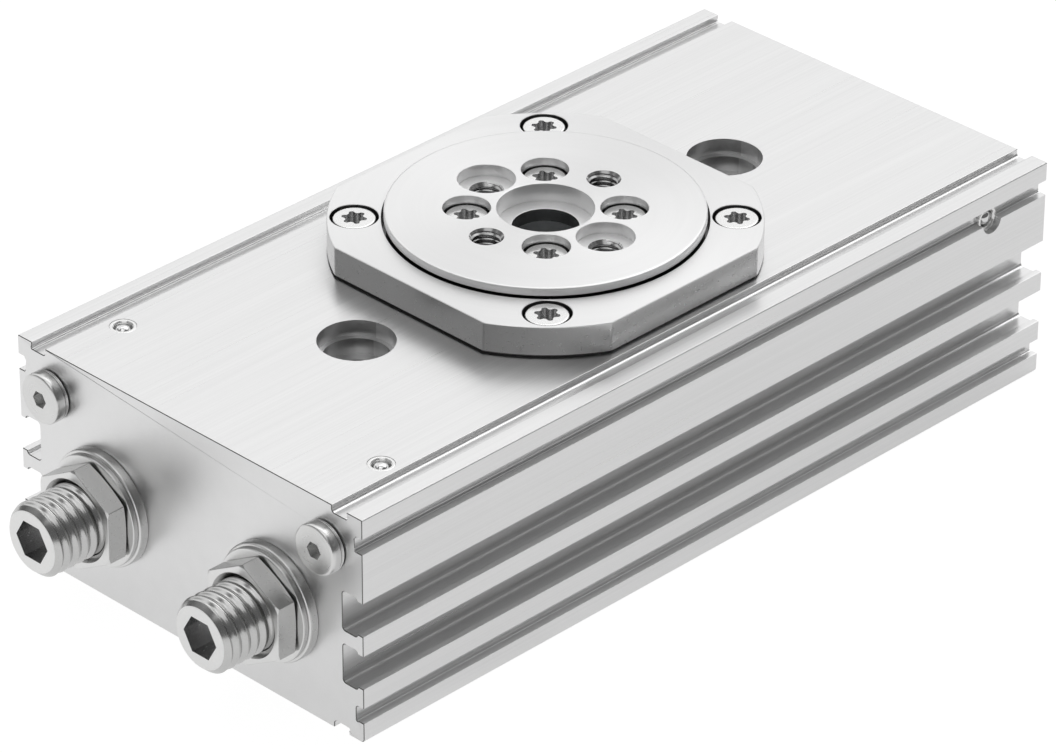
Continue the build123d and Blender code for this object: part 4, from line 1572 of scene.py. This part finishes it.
@dataclass(frozen=True)
class Studio:
    """Pale floor and soft surroundings."""

    floor_size: float = 8.0
    floor_drop: float = 0.0001
    floor_colour: float = 0.8
    floor_glow: float = 1.08
    camera_share: float = 0.9
    glossy_near: float = 0.47
    glossy_far: float = 0.7
    glossy_reach: float = 0.12
    glossy_across: Triple = (-0.707, 0.707, 0.0)
    surroundings: float = 0.14
    panels: tuple[SkyPanel, ...] = (
        SkyPanel((0.49, 0.49, 0.72), 0.65, 0.46, 0.14, 0.87),
        SkyPanel((0.62, 0.0, 0.78), 0.25, 0.22, 0.2, 0.75),
        SkyPanel((-0.45, -0.25, 0.86), 0.26, 0.26, 0.14, 0.85),
        SkyPanel((-0.61, 0.6, 0.6), 0.2, 0.2, 0.3, 0.14),
    )

    def build(self) -> None:
        """Makes the surroundings and the floor."""
        bpy.context.scene.view_settings.view_transform = "Standard"
        self._surroundings()
        self._floor()

    def _surroundings(self) -> None:
        """Makes the world: white to the camera, soft panels to the object."""
        world = bpy.data.worlds.new("studio")
        bpy.context.scene.world = world
        board = NodeBoard(world)
        look = board.add("ShaderNodeTexCoord").outputs["Generated"]
        total: object = self.surroundings
        for panel in self.panels:
            total = board.number("ADD", total, panel.light(board, look))
        seen = board.add("ShaderNodeLightPath").outputs["Is Camera Ray"]
        strength = board.number("MAXIMUM", total, seen)
        background = board.add("ShaderNodeBackground", {"Strength": strength, "Color": (1.0,) * 4})
        board.add("ShaderNodeOutputWorld", {"Surface": background.outputs["Background"]})

    def _floor(self) -> None:
        """Makes the floor, white to the camera under a faint shadow."""
        form = bmesh.new()
        place = upright(0, 0, -self.floor_drop)
        bmesh.ops.create_grid(form, x_segments=1, y_segments=1, size=self.floor_size / 2, matrix=place)
        floor = Blank(form).as_object("floor")
        form.free()
        material = bpy.data.materials.new("pale_floor")
        board = NodeBoard(material)
        matte = board.add("ShaderNodeBsdfDiffuse", {"Color": (self.floor_colour,) * 3 + (1.0,)})
        glow = board.add("ShaderNodeEmission", {"Strength": self.floor_glow})
        path = board.add("ShaderNodeLightPath").outputs
        spot = board.add("ShaderNodeTexCoord").outputs["Object"]
        # Painted light for reflections: to glossy rays the floor glows more on its -X+Y side than on its +X-Y
        # side.
        across = board.vector("DOT_PRODUCT", spot, self.glossy_across)
        ends = (-self.glossy_reach, self.glossy_reach)
        seen = board.step(across, ends, (self.glossy_near, self.glossy_far))
        to_camera = board.number("MULTIPLY", path["Is Camera Ray"], self.camera_share)
        to_metal = board.number("MULTIPLY", path["Is Glossy Ray"], seen)
        share = board.number("MAXIMUM", to_camera, to_metal)
        shaders = {1: matte.outputs["BSDF"], 2: glow.outputs["Emission"]}
        mixed = board.add("ShaderNodeMixShader", {"Fac": share, **shaders})
        board.add("ShaderNodeOutputMaterial", {"Surface": mixed.outputs["Shader"]})
        floor.data.materials.append(material)


@dataclass(frozen=True)
class SoftLamp:
    """Square soft lamp that points at the object."""

    name: str = "top_lamp"
    place: Triple = (0.05, 0.05, 1.4)
    size: float = 1.2
    radiance: float = 0.62

    def build(self) -> None:
        """Makes the lamp, so bright that its face has the stated radiance."""
        light = bpy.data.lights.new(self.name, "AREA")
        light.size = self.size
        light.energy = self.radiance * math.pi * self.size**2
        lamp = bpy.data.objects.new(self.name, light)
        bpy.context.scene.collection.objects.link(lamp)
        lamp.location = self.place
        lamp.rotation_euler = (-Vector(self.place)).to_track_quat("-Z", "Y").to_euler()


@dataclass(frozen=True)
class PhotoCamera:
    """Camera at the photograph's angle, distance and lens."""

    azimuth: float = -45.4924
    elevation: float = 30.8249
    roll: float = 0.2815
    distance: float = 954.278
    aim_right: float = -2.4938
    aim_up: float = 12.775
    lens: float = 209.05
    sensor: float = 36.0
    clip: Span = (0.01, 100.0)

    def build(self) -> None:
        """Makes the scene's camera."""
        turn, rise, tilt = (math.radians(angle) for angle in (self.azimuth, self.elevation, self.roll))
        back = Vector((math.sin(turn) * math.cos(rise), -math.cos(turn) * math.cos(rise), math.sin(rise)))
        level = Vector(UPWARDS).cross(back).normalized()
        plumb = back.cross(level)
        right = math.cos(tilt) * level + math.sin(tilt) * plumb
        up = math.cos(tilt) * plumb - math.sin(tilt) * level
        eye = (self.aim_right * right + self.aim_up * up + self.distance * back) * MM
        data = bpy.data.cameras.new("photo_camera")
        data.lens = self.lens
        data.sensor_width = self.sensor
        data.clip_start, data.clip_end = self.clip
        camera = bpy.data.objects.new("photo_camera", data)
        camera.matrix_world = Matrix.Translation(eye) @ Matrix((right, up, back)).transposed().to_4x4()
        bpy.context.scene.collection.objects.link(camera)
        bpy.context.scene.camera = camera


def sub_assemblies(body: Body) -> Iterable[object]:
    """Yields every sub-assembly that has pieces of its own.

    Args:
        body: Main sizes.

    Yields:
        Objects with a build method.
    """
    cover, table = BearingCover(body), OutputTable(body)
    yield from (SlottedHousing(body), cover, table)
    for part, word, carrier in ((cover, "cover", "housing_body"), (table, "table", "output_table")):
        finishes = (SATIN_SCREW, KEYED)
        piece = Piece(f"{word}_screw_set", (f"{word}_screws",), "bright_steel", finishes, carrier)
        yield LobedScrews(piece, part.screw_pitch_r, part.head_top)
    for side in Side:
        yield StopSet(body, side)
        yield PortPlug(body, side)
        yield RearCap(body, side)
        yield BallPlug(f"{side.word}_top", upright(-body.plug_x, side.value * body.plug_y, body.height))
        cross_x = body.plug_x if side is Side.NEAR else body.far_cross_x
        cross_y = side.value * (body.half_width - body.cross_sink)
        yield BallPlug(f"{side.word}_side", laid(cross_x, cross_y, body.cross_z, -side.value, "X"))


def main() -> None:
    """Builds the scene."""
    logging.basicConfig(level=logging.INFO, format="%(name)s: %(message)s")
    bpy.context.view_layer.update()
    for part in (PhotoCamera(), Studio(), SoftLamp(), *sub_assemblies(Body())):
        part.build()
    Mechanism().dress()


if __name__ == "__main__":
    main()
